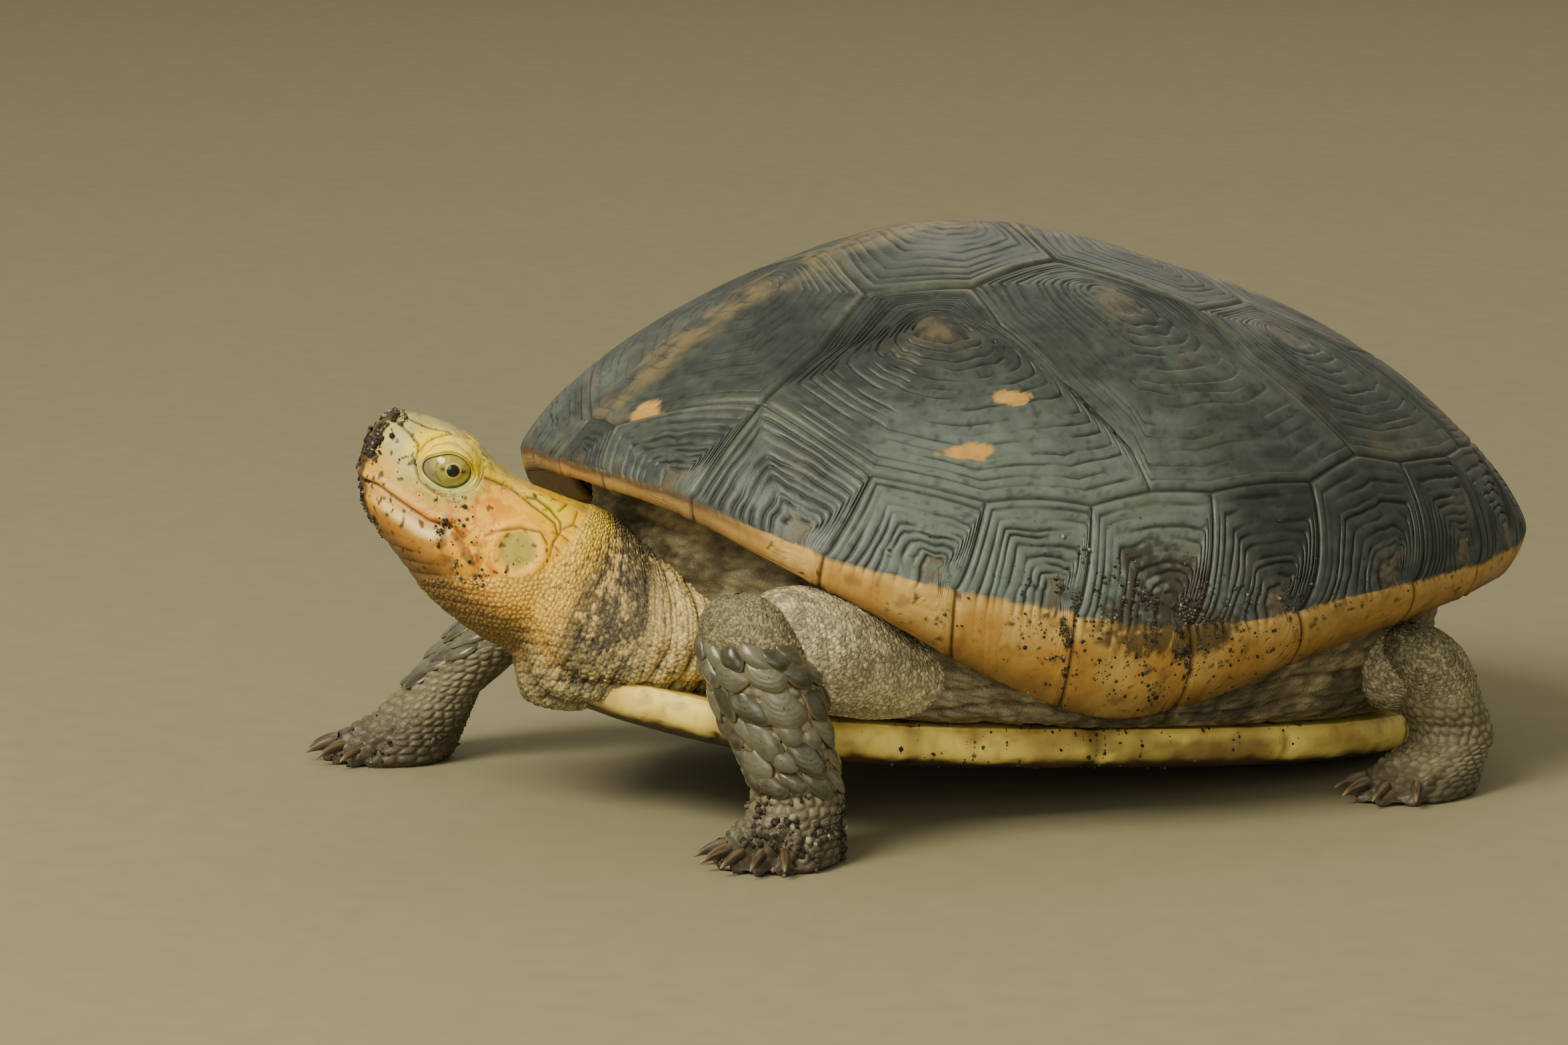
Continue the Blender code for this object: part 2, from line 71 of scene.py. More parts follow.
def noise(points, size, seed=0):
    """Smooth noise from 0 to 1 with lumps of a size."""
    place = solid(points) / size + seed * 7.31
    cell = np.floor(place).astype(int)
    part = place - cell
    part = part * part * (3.0 - 2.0 * part)
    total = 0.0
    for corner in itertools.product((0, 1), repeat=3):
        weight = np.prod(np.where(np.array(corner) == 1, part, 1.0 - part), axis=-1)
        total = total + weight * lattice_at(cell + np.array(corner))[..., 0]
    return total


def fractal(points, size, seed=0, octaves=3):
    """Noise with finer noise on it, from 0 to 1."""
    total, share, whole = 0.0, 1.0, 0.0
    for octave in range(octaves):
        total = total + share * noise(points, size / 2**octave, seed + 3 * octave)
        whole += share
        share *= 0.5
    return total / whole


def nearest_cell(place, cells_near):
    """How far each point is from its cell's border, and the cell's random number, from a centre and a
    number for each of the cells near it."""
    near, second = np.full(place.shape[:-1], 9.0), np.full(place.shape[:-1], 9.0)
    chance = np.zeros(place.shape[:-1])
    for centre, number in cells_near:
        distance = np.sqrt(((centre - place) ** 2).sum(-1))
        closer = distance < near
        second = np.where(closer, near, np.minimum(second, distance))
        chance = np.where(closer, number, chance)
        near = np.where(closer, distance, near)
    return second - near, chance


def cells_in_space(points, size, seed, jitter):
    """A pattern of cells of a size: distance to the border in cell widths, and a number per cell."""
    place = points / size + seed * 5.17
    base = np.floor(place).astype(int)

    def near():
        for step in itertools.product((-1, 0, 1), repeat=3):
            dice = lattice_at(base + step)
            yield base + step + 0.5 + jitter * (dice - 0.5), dice[..., 0]

    return nearest_cell(place, near())


def cells_round(place, count, seed, jitter):
    """Cells on a sheet that closes on itself after count of them, odd rows half a cell along."""
    base = np.floor(place).astype(int)

    def near():
        for step in itertools.product((-2, -1, 0, 1), (-1, 0, 1)):
            cell = base + step
            dice = lattice_at(stacked(cell[..., 0] % count, cell[..., 1], seed))
            centre = cell + 0.5 + jitter * (dice[..., :2] - 0.5)
            centre[..., 0] += 0.5 * (cell[..., 1] % 2)
            yield centre, dice[..., 2]

    return nearest_cell(place, near())


def blend(low, high, value):
    """0 below low, 1 above high and smooth between them; high may be the lower one."""
    share = np.clip((np.asarray(value, float) - low) / (high - low), 0.0, 1.0)
    return share * share * (3.0 - 2.0 * share)


def bump(value, width):
    """1 where the value is 0, falling smoothly to both sides over a width."""
    return np.exp(-((np.asarray(value) / width) ** 2))


def mix(first, second, share):
    """Between two colours, or arrays of them, by a share for each point."""
    share = np.asarray(share)[..., None]
    return np.asarray(first) * (1.0 - share) + np.asarray(second) * share


def layers(tint, *coats):
    """A colour with coats of others over it, in order, each a (colour, share of it at each point)."""
    for colour, share in coats:
        tint = mix(tint, colour, share)
    return tint


def stacked(*values):
    """Coordinates from arrays or numbers that are stretched to one shape."""
    return np.stack(np.broadcast_arrays(*values), -1)


def crossed(*values):
    """Arrays of one value per row or per column, each stretched over the whole grid."""
    return [np.ascontiguousarray(whole) for whole in np.broadcast_arrays(*values)]


def spline(rows, share):
    """Rows of sizes at shares of the way along, on a smooth curve through them."""
    rows = np.asarray(rows, float)
    place = np.clip(share, 0.0, 1.0) * (len(rows) - 1)
    left = np.minimum(place.astype(int), len(rows) - 2)
    t = (place - left)[..., None]
    a, b, c, d = (rows[np.clip(left + step, 0, len(rows) - 1)] for step in (-1, 0, 1, 2))
    return b + 0.5 * t * (c - a + t * (2 * a - 5 * b + 4 * c - d + t * (3 * (b - c) + d - a)))


def through(nodes, value):
    """A level at a place, straight between pairs of (place, level)."""
    places, levels = zip(*nodes)
    return np.interp(value, places, levels)


def turned(pitch, turn):
    """Rotation matrices that pitch about X, then turn about Z, in radians."""
    return np.array(Matrix.Rotation(turn, 3, "Z") @ Matrix.Rotation(pitch, 3, "X"))


# ---------------------------------------------------------------- grids and pieces

def normals_of(points, closed, inside):
    """Unit normals of a grid of points, away from a point inside."""
    if closed:
        across = np.roll(points, -1, 1) - np.roll(points, 1, 1)
    else:
        across = np.gradient(points, axis=1)
    normal = np.cross(across, np.gradient(points, axis=0))
    normal /= np.linalg.norm(normal, axis=-1, keepdims=True) + 1e-12
    outward = ((points - np.asarray(inside)) * normal).sum()
    return normal if outward > 0.0 else -normal


class Grid:
    """A sheet of points with paint on it: a tint, how wet it is and how scaly, each 0 to 1."""

    def __init__(self, points, closed, inside):
        self.points = np.asarray(points, float)
        self.closed = closed
        self.normal = normals_of(self.points, closed, inside)
        self.tint = np.zeros(self.points.shape)
        self.shine = np.zeros(self.points.shape[:2])
        self.scaly = np.zeros(self.points.shape[:2])

    def push(self, height):
        """Moves the points out along the normals that they had before any relief."""
        self.points = self.points + self.normal * np.asarray(height)[..., None]

    def changed(self, change):
        """A grid whose points and paint are all changed in one way, such as cut or reversed."""
        other = Grid.__new__(Grid)
        other.closed = self.closed
        for name in ("points", "normal", "tint", "shine", "scaly"):
            setattr(other, name, change(getattr(self, name)))
        return other

    def wound(self, quads):
        """Quads, or their bake map, in the order that makes them face along the normals."""
        across = self.points[:, 1] - self.points[:, 0]
        along = np.gradient(self.points, axis=0)[:, 0]
        facing = (np.cross(across, along) * self.normal[:, 0]).sum()
        return quads if facing > 0.0 else quads[:, ::-1]

    def faces(self):
        rows, columns = self.points.shape[:2]
        index = np.arange(rows * columns).reshape(rows, columns)
        if self.closed:
            index = np.concatenate([index, index[:, :1]], axis=1)
        quads = np.stack([index[:-1, :-1], index[:-1, 1:], index[1:, 1:], index[1:, :-1]], -1)
        return self.wound(quads.reshape(-1, 4))

    def corners(self):
        """The bake map of each face corner, the grid's rows and columns over a unit square."""
        rows, columns = self.points.shape[:2]
        wide = columns if self.closed else columns - 1
        down, side = np.meshgrid(np.arange(rows - 1), np.arange(wide), indexing="ij")
        steps = ((0, 0), (0, 1), (1, 1), (1, 0))
        places = [np.stack([(side + b) / wide, (down + a) / (rows - 1)], -1) for a, b in steps]
        return self.wound(np.stack(places, axis=2).reshape(-1, 4, 2))


def add_mesh(name, points, faces, material):
    mesh = bpy.data.meshes.new(name)
    mesh.vertices.add(len(points))
    mesh.vertices.foreach_set("co", (points * MM).astype(np.float32).ravel())
    mesh.loops.add(faces.size)
    mesh.loops.foreach_set("vertex_index", faces.astype(np.int32).ravel())
    mesh.polygons.add(len(faces))
    sides = faces.shape[1]
    mesh.polygons.foreach_set("loop_start", np.arange(0, faces.size, sides, dtype=np.int32))
    mesh.polygons.foreach_set("loop_total", np.full(len(faces), sides, np.int32))
    mesh.update(calc_edges=True)
    mesh.validate()
    mesh.shade_smooth()
    mesh.materials.append(material)
    piece = bpy.data.objects.new(name, mesh)
    bpy.context.scene.collection.objects.link(piece)
    return piece


def add_piece(name, grids, material, stands_for=()):
    """One piece of the turtle from several grids, each on its own patch of the bake map."""
    points, tints, shines, scales, faces, maps, count = [], [], [], [], [], [], 0
    side = math.ceil(math.sqrt(len(grids)))
    for number, grid in enumerate(grids):
        faces.append(grid.faces() + count)
        points.append(grid.points.reshape(-1, 3))
        tints.append(grid.tint.reshape(-1, 3))
        shines.append(grid.shine.ravel())
        scales.append(grid.scaly.ravel())
        patch = np.array((number % side, number // side))
        maps.append((patch + 0.02 + 0.96 * grid.corners()) / side)
        count += grid.points.shape[0] * grid.points.shape[1]
    piece = add_mesh(name, np.concatenate(points), np.concatenate(faces), material)
    mesh = piece.data
    tint = np.concatenate(tints)
    tint = np.concatenate([np.clip(tint, 0.0, 1.0), np.ones((len(tint), 1))], axis=1)
    mesh.attributes.new("tint", "FLOAT_COLOR", "POINT").data.foreach_set("color", tint.ravel())
    for mask, values in (("shine", shines), ("scaly", scales)):
        mesh.attributes.new(mask, "FLOAT", "POINT").data.foreach_set("value", np.concatenate(values))
    layer = mesh.uv_layers.new(name="OFBake")
    layer.data.foreach_set("uv", np.concatenate(maps).astype(np.float32).ravel())
    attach(piece, "root")
    if stands_for:
        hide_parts(*stands_for)


# ---------------------------------------------------------------- materials

def wire(tree, from_node, from_name, to_node, to_name):
    tree.links.new(from_node.outputs[from_name], to_node.inputs[to_name])


def add_node(tree, kind, **values):
    node = tree.nodes.new("ShaderNode" + kind)
    for name, value in values.items():
        if hasattr(node, name):
            setattr(node, name, value)
        else:
            node.inputs[name.replace("_", " ")].default_value = value
    return node


def painted(name, rough, wet, speckle, grain, depth, coat=0.0, scale=0.0, scale_depth=0.0):
    """A material that takes its tint from the mesh and adds fine mottling, pores and gloss of its own.

    rough and wet are the roughness where shine is 0 and 1; speckle is how much the tint varies; grain
    and depth are the size and height of the pores, and scale those of granules where the mesh is
    scaly, in metres."""
    material = bpy.data.materials.new(name)
    material.use_nodes = True
    tree = material.node_tree
    shader = tree.nodes["Principled BSDF"]
    place = add_node(tree, "TexCoord")
    tint = add_node(tree, "Attribute", attribute_name="tint")
    shine = add_node(tree, "Attribute", attribute_name="shine")
    mottle = add_node(tree, "TexNoise", Scale=1.0 / (grain * 4.0), Detail=6.0, Roughness=0.65)
    wire(tree, place, "Object", mottle, "Vector")
    level = add_range(tree, 0.25, 0.75, 1.0 - speckle, 1.0 + speckle)
    wire(tree, mottle, "Fac", level, "Value")
    brightness, normal = level.outputs["Result"], None
    if scale:
        scaly = add_node(tree, "Attribute", attribute_name="scaly")
        granule = add_node(tree, "TexVoronoi", feature="DISTANCE_TO_EDGE", Scale=1.0 / scale)
        wire(tree, place, "Object", granule, "Vector")
        round_top = add_range(tree, 0.0, 0.3, 0.0, 1.0)
        wire(tree, granule, "Distance", round_top, "Value")
        gap = math_of(tree, "SUBTRACT", 1.0, round_top.outputs["Result"])
        gap = math_of(tree, "MULTIPLY", gap, scaly.outputs["Fac"])
        # painted shade: the tint is darker in the gaps between granules
        brightness = math_of(tree, "MULTIPLY_ADD", gap, -GRANULE_GAP_SHADE, brightness)
        raised = add_node(tree, "Bump", Strength=1.0, Distance=scale_depth)
        tree.links.new(math_of(tree, "SUBTRACT", 1.0, gap), raised.inputs["Height"])
        normal = raised.outputs["Normal"]
    scaled = tree.nodes.new("ShaderNodeVectorMath")
    scaled.operation = "SCALE"
    wire(tree, tint, "Color", scaled, "Vector")
    tree.links.new(brightness, scaled.inputs["Scale"])
    wire(tree, scaled, "Vector", shader, "Base Color")
    gloss = add_range(tree, 0.0, 1.0, rough, wet)
    wire(tree, shine, "Fac", gloss, "Value")
    uneven = math_of(tree, "MULTIPLY_ADD", mottle.outputs["Fac"], 0.2, gloss.outputs["Result"])
    tree.links.new(uneven, shader.inputs["Roughness"])
    pores = add_node(tree, "TexNoise", Scale=1.0 / grain, Detail=4.0, Roughness=0.6)
    wire(tree, place, "Object", pores, "Vector")
    pitted = add_node(tree, "Bump", Strength=1.0, Distance=depth)
    wire(tree, pores, "Fac", pitted, "Height")
    if normal:
        tree.links.new(normal, pitted.inputs["Normal"])
    wire(tree, pitted, "Normal", shader, "Normal")
    shader.inputs["Coat Weight"].default_value = coat
    shader.inputs["Coat Roughness"].default_value = 0.25
    shader.inputs["Specular IOR Level"].default_value = 0.32
    return material


# painted shade in the gaps between granules
GRANULE_GAP_SHADE = 0.42  # how much darker the skin is between granules


def add_range(tree, low, high, out_low, out_high):
    node = add_node(tree, "MapRange")
    for slot_name, value in zip(("From Min", "From Max", "To Min", "To Max"), (low, high, out_low, out_high)):
        node.inputs[slot_name].default_value = value
    return node


def math_of(tree, operation, *values):
    """The output of a sum over numbers and outputs of other nodes."""
    node = add_node(tree, "Math", operation=operation)
    for number, value in enumerate(values):
        if isinstance(value, float):
            node.inputs[number].default_value = value
        else:
            tree.links.new(value, node.inputs[number])
    return node.outputs["Value"]


HORN = painted("carapace_horn", 0.42, 0.26, 0.22, 0.0007, 0.00005)
PALE_HORN = painted("margin_horn", 0.42, 0.3, 0.14, 0.0006, 0.00003)
SKIN = painted("skin", 0.46, 0.22, 0.16, 0.0003, 0.00004, scale=0.0006, scale_depth=0.0001)
LEG_SKIN = painted("leg_skin", 0.44, 0.22, 0.16, 0.0003, 0.00004, scale=0.0008, scale_depth=0.00018)
PLATE_HORN = painted("limb_scale_horn", 0.34, 0.14, 0.25, 0.0005, 0.00003, coat=0.5)
CLAW_HORN = painted("claw_horn", 0.4, 0.3, 0.25, 0.0004, 0.00003)
EYE_WET = painted("eye_wet", 0.2, 0.06, 0.1, 0.0002, 0.000002, coat=1.0)
EYE_WET.node_tree.nodes["Principled BSDF"].inputs["Coat Roughness"].default_value = 0.02


# ---------------------------------------------------------------- the shell's surface

# the half width, top, centre and the three roundness powers come from a program that fitted the shell and
# the camera to the photo
SHELL_AT = np.array((0.0, 7.6, 31.5))
SHELL_TURN = turned(math.radians(-5.0), 0.0)
FRONT_REACH, REAR_REACH, HALF_WIDTH, PLAN_POWER = 75.0, 85.0, 60.2, 2.53
DOME_TOP, DOME_CENTRE_Y, DOME_ROUND, DOME_FALL = 53.2, -4.9, 1.06, 1.51
KEEL_RISE, KEEL_WIDTH = 1.6, 7.0
# swells and dips of the back under the vertebral scutes: place along the shell, length and rise
BACK_SWELLS = ((-22.0, 13.0, 1.5), (27.0, 14.0, -1.5), (62.0, 14.0, 1.8))
WALL, LIP_RISE, TUCK_POWER = 3.0, 1.0, 1.8
# rim height, drop to the lowest edge, its tuck and the ledge under it, every 20 degrees
RIM_STATIONS = (
    (16.0, 2.6, 0.8, 8.0), (15.2, 3.4, 1.0, 8.0), (8.6, 5.6, 1.6, 7.0), (4.2, 13.0, 6.0, 3.5),
    (0.9, 15.8, 9.0, 1.5), (1.4, 13.6, 9.0, 1.5), (5.6, 10.0, 6.5, 3.0), (9.0, 6.0, 3.0, 6.0),
    (12.2, 4.8, 1.5, 8.0), (13.6, 4.6, 1.0, 8.0),
)
SHELL_MIDDLE = (0.0, 8.0, 42.0)


def shell_to_world(points):
    return points @ SHELL_TURN.T + SHELL_AT


def plan(angle, inset=0.0):
    """The shell's outline from above, by the angle from straight ahead round to the left."""
    ahead, left = np.cos(angle), np.sin(angle)
    reach = np.where(ahead > 0.0, FRONT_REACH, REAR_REACH)
    radius = (
        (np.abs(ahead) / (reach - inset)) ** PLAN_POWER
        + (np.abs(left) / (HALF_WIDTH - inset)) ** PLAN_POWER
    ) ** (-1.0 / PLAN_POWER)
    return radius * left, -radius * ahead


def rim_sizes(angle):
    return np.moveaxis(spline(RIM_STATIONS, np.abs(angle) / math.pi), -1, 0)


def dome(angle, share, inset=0.0):
    """The domed top, from its apex at share 0 to the rim at share 1, in the shell's frame."""
    turn = share * math.pi / 2.0
    spread = np.sin(turn) ** DOME_ROUND
    x, y = plan(angle, inset)
    x, y = x * spread, y * spread + DOME_CENTRE_Y * (1.0 - spread)
    rim = rim_sizes(angle)[0]
    z = rim + (DOME_TOP - inset - rim) * np.maximum(0.0, np.cos(turn)) ** DOME_FALL
    height = np.sqrt(np.maximum(0.0, z - rim) / DOME_TOP)
    for place, length, rise in BACK_SWELLS:
        z = z + rise * height * bump(y - place, length)
    keel = KEEL_RISE * (1.0 - blend(0.6, 1.0, share)) if inset == 0.0 else 0.0
    return np.stack([x, y, z + keel * bump(x, KEEL_WIDTH)], -1)


def lower_edge(angle, share):
    """The marginals below the rim: 0 at the rim, 1 at the lowest edge, 2 at the inner lip."""
    height, drop, tuck, ledge = rim_sizes(angle)
    under, side = np.maximum(0.0, share - 1.0), np.minimum(1.0, share)
    x, y = plan(angle, tuck * side**TUCK_POWER + ledge * under)
    return np.stack([x, y, height - drop * side + LIP_RISE * under], -1)


def shell_at(angle, level):
    """The outside of the shell: level 0 to 1 over the dome, 1 to 3 under the rim, in the row frame."""
    above = dome(angle, np.minimum(level, 1.0))
    below = lower_edge(angle, np.maximum(level - 1.0, 0.0))
    return shell_to_world(np.where((level <= 1.0)[..., None], above, below))


def disc_of(spots):
    """Flat-disc coordinates of spots given as (left, back) in mm on the dome seen from above."""
    spots = np.asarray(spots, float)
    spread = np.full(len(spots), 0.7)
    for _ in range(40):
        back = spots[:, 1] - DOME_CENTRE_Y * (1.0 - spread)
        angle = np.arctan2(spots[:, 0], -back)
        x, y = plan(angle)
        spread = np.clip(np.hypot(spots[:, 0], back) / np.hypot(x, y), 0.0, 1.0)
    share = np.arcsin(spread ** (1.0 / DOME_ROUND)) * 2.0 / math.pi
    return np.stack([share * np.sin(angle), share * np.cos(angle)], -1)


def polar(disc):
    return np.arctan2(disc[..., 0], disc[..., 1]), np.hypot(disc[..., 0], disc[..., 1])


# ---------------------------------------------------------------- horn plates of the shell

# Corners of the scutes on the left side, (left, back) in mm seen from above. M12 to M78, C12, C23, their
# seams, V1_SEAM and the first two areolae were measured: a scratch script cast points of the photo on to
# the dome and printed these numbers, a few of them changed a little since. The others come from the dome.
NUCHAL = (4.0, -71.5)
M12, M23, M34, M45 = (26.3, -58.6), (43.4, -48.3), (51.0, -32.6), (52.8, -15.0)
M56, M67, M78, M89 = (51.3, 6.7), (49.9, 25.3), (44.9, 44.6), (39.9, 56.4)
M910, M1011, M1112, M12END = (31.2, 66.3), (21.1, 73.1), (10.2, 76.9), (0.0, 77.8)
C12, C23, C34, C45 = (51.2, -3.9), (45.7, 35.9), (35.3, 61.8), (18.5, 74.0)
C12_SEAM = ((47.7, -5.2), (41.1, -12.7), (31.0, -20.5), (23.0, -21.6))
C23_SEAM = ((40.2, 30.3), (33.6, 23.0), (24.0, 19.0))
C34_SEAM = ((30.5, 55.0), (22.0, 48.0))
V1_SEAM = ((24.2, -47.9), (16.9, -36.6))
V12, V23, V34, V45 = (0.0, -34.5), (0.0, -1.0), (0.0, 34.0), (0.0, 60.5)
V23C, V34C, V45C = (14.5, -2.0), (14.0, 33.0), (13.5, 59.5)
# the middle of the oldest part, how many growth rings, and the corners
COSTALS = (
    ((27.0, -29.8), 15, (M12, M23, M34, M45, C12, *C12_SEAM, V1_SEAM[1], V1_SEAM[0])),
    ((22.0, 3.0), 14, (C12, M56, M67, C23, *C23_SEAM, V23C, *C12_SEAM[::-1])),
    ((23.5, 33.0), 12, (C23, M78, M89, C34, *C34_SEAM, V34C, *C23_SEAM[::-1])),
    ((20.5, 57.5), 9, (C34, M910, M1011, C45, V45C, *C34_SEAM[::-1])),
)
VERTEBRALS = (
    ((0.0, -46.0), 11, (NUCHAL, M12, *V1_SEAM, V12)),
    ((0.0, -13.0), 10, (V12, V1_SEAM[1], C12_SEAM[-1], V23C, V23)),
    ((0.0, 19.0), 10, (V23, V23C, C23_SEAM[-1], V34C, V34)),
    ((0.0, 49.0), 9, (V34, V34C, C34_SEAM[-1], V45C, V45)),
    ((0.0, 65.0), 8, (V45, V45C, C45, M1112, M12END)),
)
# where each seam between marginals meets the rim, the first eight measured in the same way, and how far it
# has moved by the lowest edge, in degrees
RIM_SEAMS = (5.5, 21.8, 39.0, 54.8, 71.0, 89.2, 107.5, 126.5, 138.5, 149.0, 158.5, 168.5, 180.0)
SEAM_LEANS = (0.0, 0.0, -0.8, -0.4, 0.6, 5.0, 6.0, 4.0, 2.0, 1.0, 0.0, 0.0, 0.0)
MARGINAL_TOPS = (
    (NUCHAL, M12), (M12, M23), (M23, M34), (M34, M45), (M45, C12, M56), (M56, M67), (M67, C23, M78),
    (M78, M89), (M89, C34, M910), (M910, M1011), (M1011, C45, M1112), (M1112, M12END),
)

SLATE, SLATE_LIGHT, GROOVE = (0.032, 0.042, 0.040), (0.125, 0.158, 0.142), (0.008, 0.009, 0.008)
SEAM_PALE, AREOLA, KEEL_TAN = (0.150, 0.155, 0.110), (0.105, 0.085, 0.052), (0.175, 0.135, 0.070)
OCHRE, OCHRE_PALE, OCHRE_DARK = (0.540, 0.300, 0.066), (0.680, 0.450, 0.140), (0.220, 0.120, 0.042)
DIRT = (0.030, 0.023, 0.015)


def subdivided(line, step, to_mm):
    """A closed line cut into short straight stretches, its corners kept."""
    line = np.asarray(line, float)
    spots = []
    for start, end in zip(line, np.roll(line, -1, axis=0)):
        length = np.linalg.norm(to_mm(end) - to_mm(start))
        count = max(1, math.ceil(length / step))
        spots += [start + (end - start) * k / count for k in range(count)]
    return np.array(spots)


def edge_distance(points, border):
    """How far each point is from a closed border, in mm, the border taken as straight stretches."""
    flat = points.reshape(-1, 3)
    best = np.full(len(flat), 1e9)
    for start, end in zip(border, np.roll(border, -1, axis=0)):
        along = end - start
        share = np.clip(((flat - start) @ along) / (along @ along + 1e-12), 0.0, 1.0)
        gap = flat - start - share[:, None] * along
        best = np.minimum(best, (gap**2).sum(-1))
    return np.sqrt(best).reshape(points.shape[:2])


ROW_SHARES = (0.0, 0.11, 0.24, 0.5, 0.76, 0.89)  # rows of the grid between two growth rings


def scute(line, areola, rings, on_disc, groove, seed):
    """A horn plate: growth rings round its oldest part, shaped like its border, and rounded edges.

    line and areola are in flat-disc coordinates, or angle and level for a marginal."""

    def place(spots):
        return shell_at(*(polar(spots) if on_disc else (spots[..., 0], spots[..., 1])))

    border = subdivided(line, 1.0 * COARSE, place)
    areola = np.asarray(areola, float)
    core = 0.16
    steps = np.linspace(core, 1.0, rings + 1)
    dice = np.random.default_rng(seed)
    steps[1:-1] += dice.uniform(-0.22, 0.22, rings - 1) * (1.0 - core) / rings
    inner = np.linspace(0.001, core, 6)[:-1]
    rows = list(inner)
    ring, part = [-1] * len(inner), [0.5] * len(inner)
    for number in range(rings):
        for share in ROW_SHARES:
            rows.append(steps[number] + share * (steps[number + 1] - steps[number]))
            ring.append(number)
            part.append(share)
    rows = np.array(rows + [1.0])
    ring, part = np.array(ring + [rings]), np.array(part + [0.0])
    reach = border - areola
    # the rings waver a little, but not at the areola or the border
    turn = np.linspace(0.0, 2.0 * math.pi, len(border), endpoint=False)
    spot = stacked(np.cos(turn) * 2.4, np.sin(turn) * 2.4, rows[:, None] * 3.0)
    waver = (fractal(spot, 1.0, seed, 2) - 0.5) * 1.1 * (1.0 - core) / rings
    waver *= (4.0 * rows * (1.0 - rows))[:, None]
    share = rows[:, None] + waver
    # the oldest rings are rounder than the border
    window = len(border) // (9 if on_disc else 30)
    soft = sum(np.roll(reach, step, axis=0) for step in range(-window, window + 1)) / (2 * window + 1)
    grown = blend(0.1, 0.9, rows)[:, None, None]
    spots = areola + (soft * (1.0 - grown) + reach * grown) * share[..., None]
    grid = Grid(place(spots), True, SHELL_MIDDLE)
    length = np.linalg.norm(place(border) - place(areola[None])[0], axis=-1)
    spacing = length * (1.0 - core) / rings
    clear = blend(0.25, 1.1, spacing)[None]
    nearest = np.minimum(part, 1.0 - part)[:, None] * spacing[None]
    # each groove comes and goes along its length
    line_number = (ring + np.round(part)).astype(int)[:, None]
    along = stacked(np.cos(turn) * length / 9.0 + line_number * 3.7, np.sin(turn) * length / 9.0)
    calm = 1.0 if on_disc else 1.0 - 0.85 * blend(1.03, 1.2, spots[..., 1])
    strength = blend(0.25, 0.65, noise(along, 1.0, seed + 5)) * clear * calm
    strength = np.where((ring < 0)[:, None] | (ring >= rings)[:, None], 0.0, strength)
    line_depth = bump(nearest, 0.19 if on_disc else 0.24) * strength
    edge = edge_distance(grid.points, place(border))
    rib = (0.05 if on_disc else 0.1) * clear * calm * np.sin(math.pi * part)[:, None]
    height = -groove * line_depth + rib
    height += -0.3 * bump(edge, 0.3) + 0.16 * bump(edge - 1.2, 0.8)
    uneven = 0.3 * (fractal(grid.points, 10.0, seed + 2) - 0.5)
    uneven += 0.07 * (fractal(grid.points, 2.6, seed + 9) - 0.5)
    height += uneven * blend(0.0, 2.5, edge)
    facts = {
        "line": line_depth, "edge": edge, "core": 1.0 - blend(core * 0.7, core * 1.5, share),
        "cut": min(1.0, groove / 0.3), "spots": spots,
    }
    grid.push(height)
    return grid, facts


def paint_dark(grid, facts, seed):
    """Slate horn with dark grooves, paler seams and a brownish areola; a painted sheen of light low on the
    front, and painted shade over the top and towards the rim at the rear.
    """
    cloud = fractal(grid.points, 16.0, seed)
    streak = fractal(grid.points * (1.0, 1.0, 2.5), 3.0, seed + 1)
    high = blend(40.0, 80.0, grid.points[..., 2])
    turn = np.degrees(np.arctan2(np.abs(grid.points[..., 0]), SHELL_AT[1] - grid.points[..., 1]))
    # painted light: the lower front of the dome is painted lighter, as the sheen of light on its lit front
    front = blend(118.0, 74.0, turn) * blend(30.0, 56.0, turn) * blend(76.0, 52.0, grid.points[..., 2])
    tint = mix(SLATE, SLATE_LIGHT, blend(0.3, 0.9, 0.5 * cloud + 0.35 * streak + 0.05 + 0.45 * front))
    # painted shade: the top of the shell is painted darker, as the light leaves it
    tint = tint * (1.0 - 0.42 * blend(56.0, 82.0, grid.points[..., 2]))[..., None]
    tint = mix(tint, SEAM_PALE, 0.55 * bump(facts["edge"] - 0.8, 0.6) * blend(0.35, 0.6, cloud) * high)
    # painted shade: low on the rear sides the horn is painted darker, away from the light
    tint = tint * (1.0 - 0.5 * blend(82.0, 115.0, turn) * (1.0 - high))[..., None]
    brown = 0.7 * facts["core"] + 0.25 * blend(0.55, 0.75, fractal(grid.points, 7.0, seed + 8))
    tint = layers(
        tint,
        (AREOLA, brown * blend(0.25, 0.6, streak)),
        (GROOVE, 0.75 * facts["line"] * facts["cut"]),
        (GROOVE, (0.75 - 0.35 * high) * bump(facts["edge"], 0.24)),
    )
    pits = blend(0.72, 0.8, noise(grid.points, 0.8, seed + 3))
    grid.tint = mix(tint, GROOVE, 0.4 * pits)
    grid.shine = 0.45 + 0.4 * cloud - 0.3 * facts["line"] - 0.25 * facts["core"]
    return cloud


def both_sides(spots):
    """Corners down the left side, and on round the right side as their mirror image."""
    return list(spots) + [(-x, y) for x, y in spots[::-1] if x > 0.0]


def mirror(grid):
    """The same plate on the turtle's right side, with its columns in reverse."""
    other = grid.changed(lambda values: values[:, ::-1].copy())
    other.points[..., 0] *= -1.0
    other.normal[..., 0] *= -1.0
    return other


SIDES = (("left", 1.0), ("right", -1.0))
RIGHT_SEEDS = 40  # how much higher the seeds of the right side's plates are
# flakes worn down to pale bone-coloured horn: (left, back) in mm from above, also measured, and their radius
CHIPS = ((9.0, -69.0, 3.2), (41.3, -23.6, 2.2), (45.9, -33.6, 2.6))


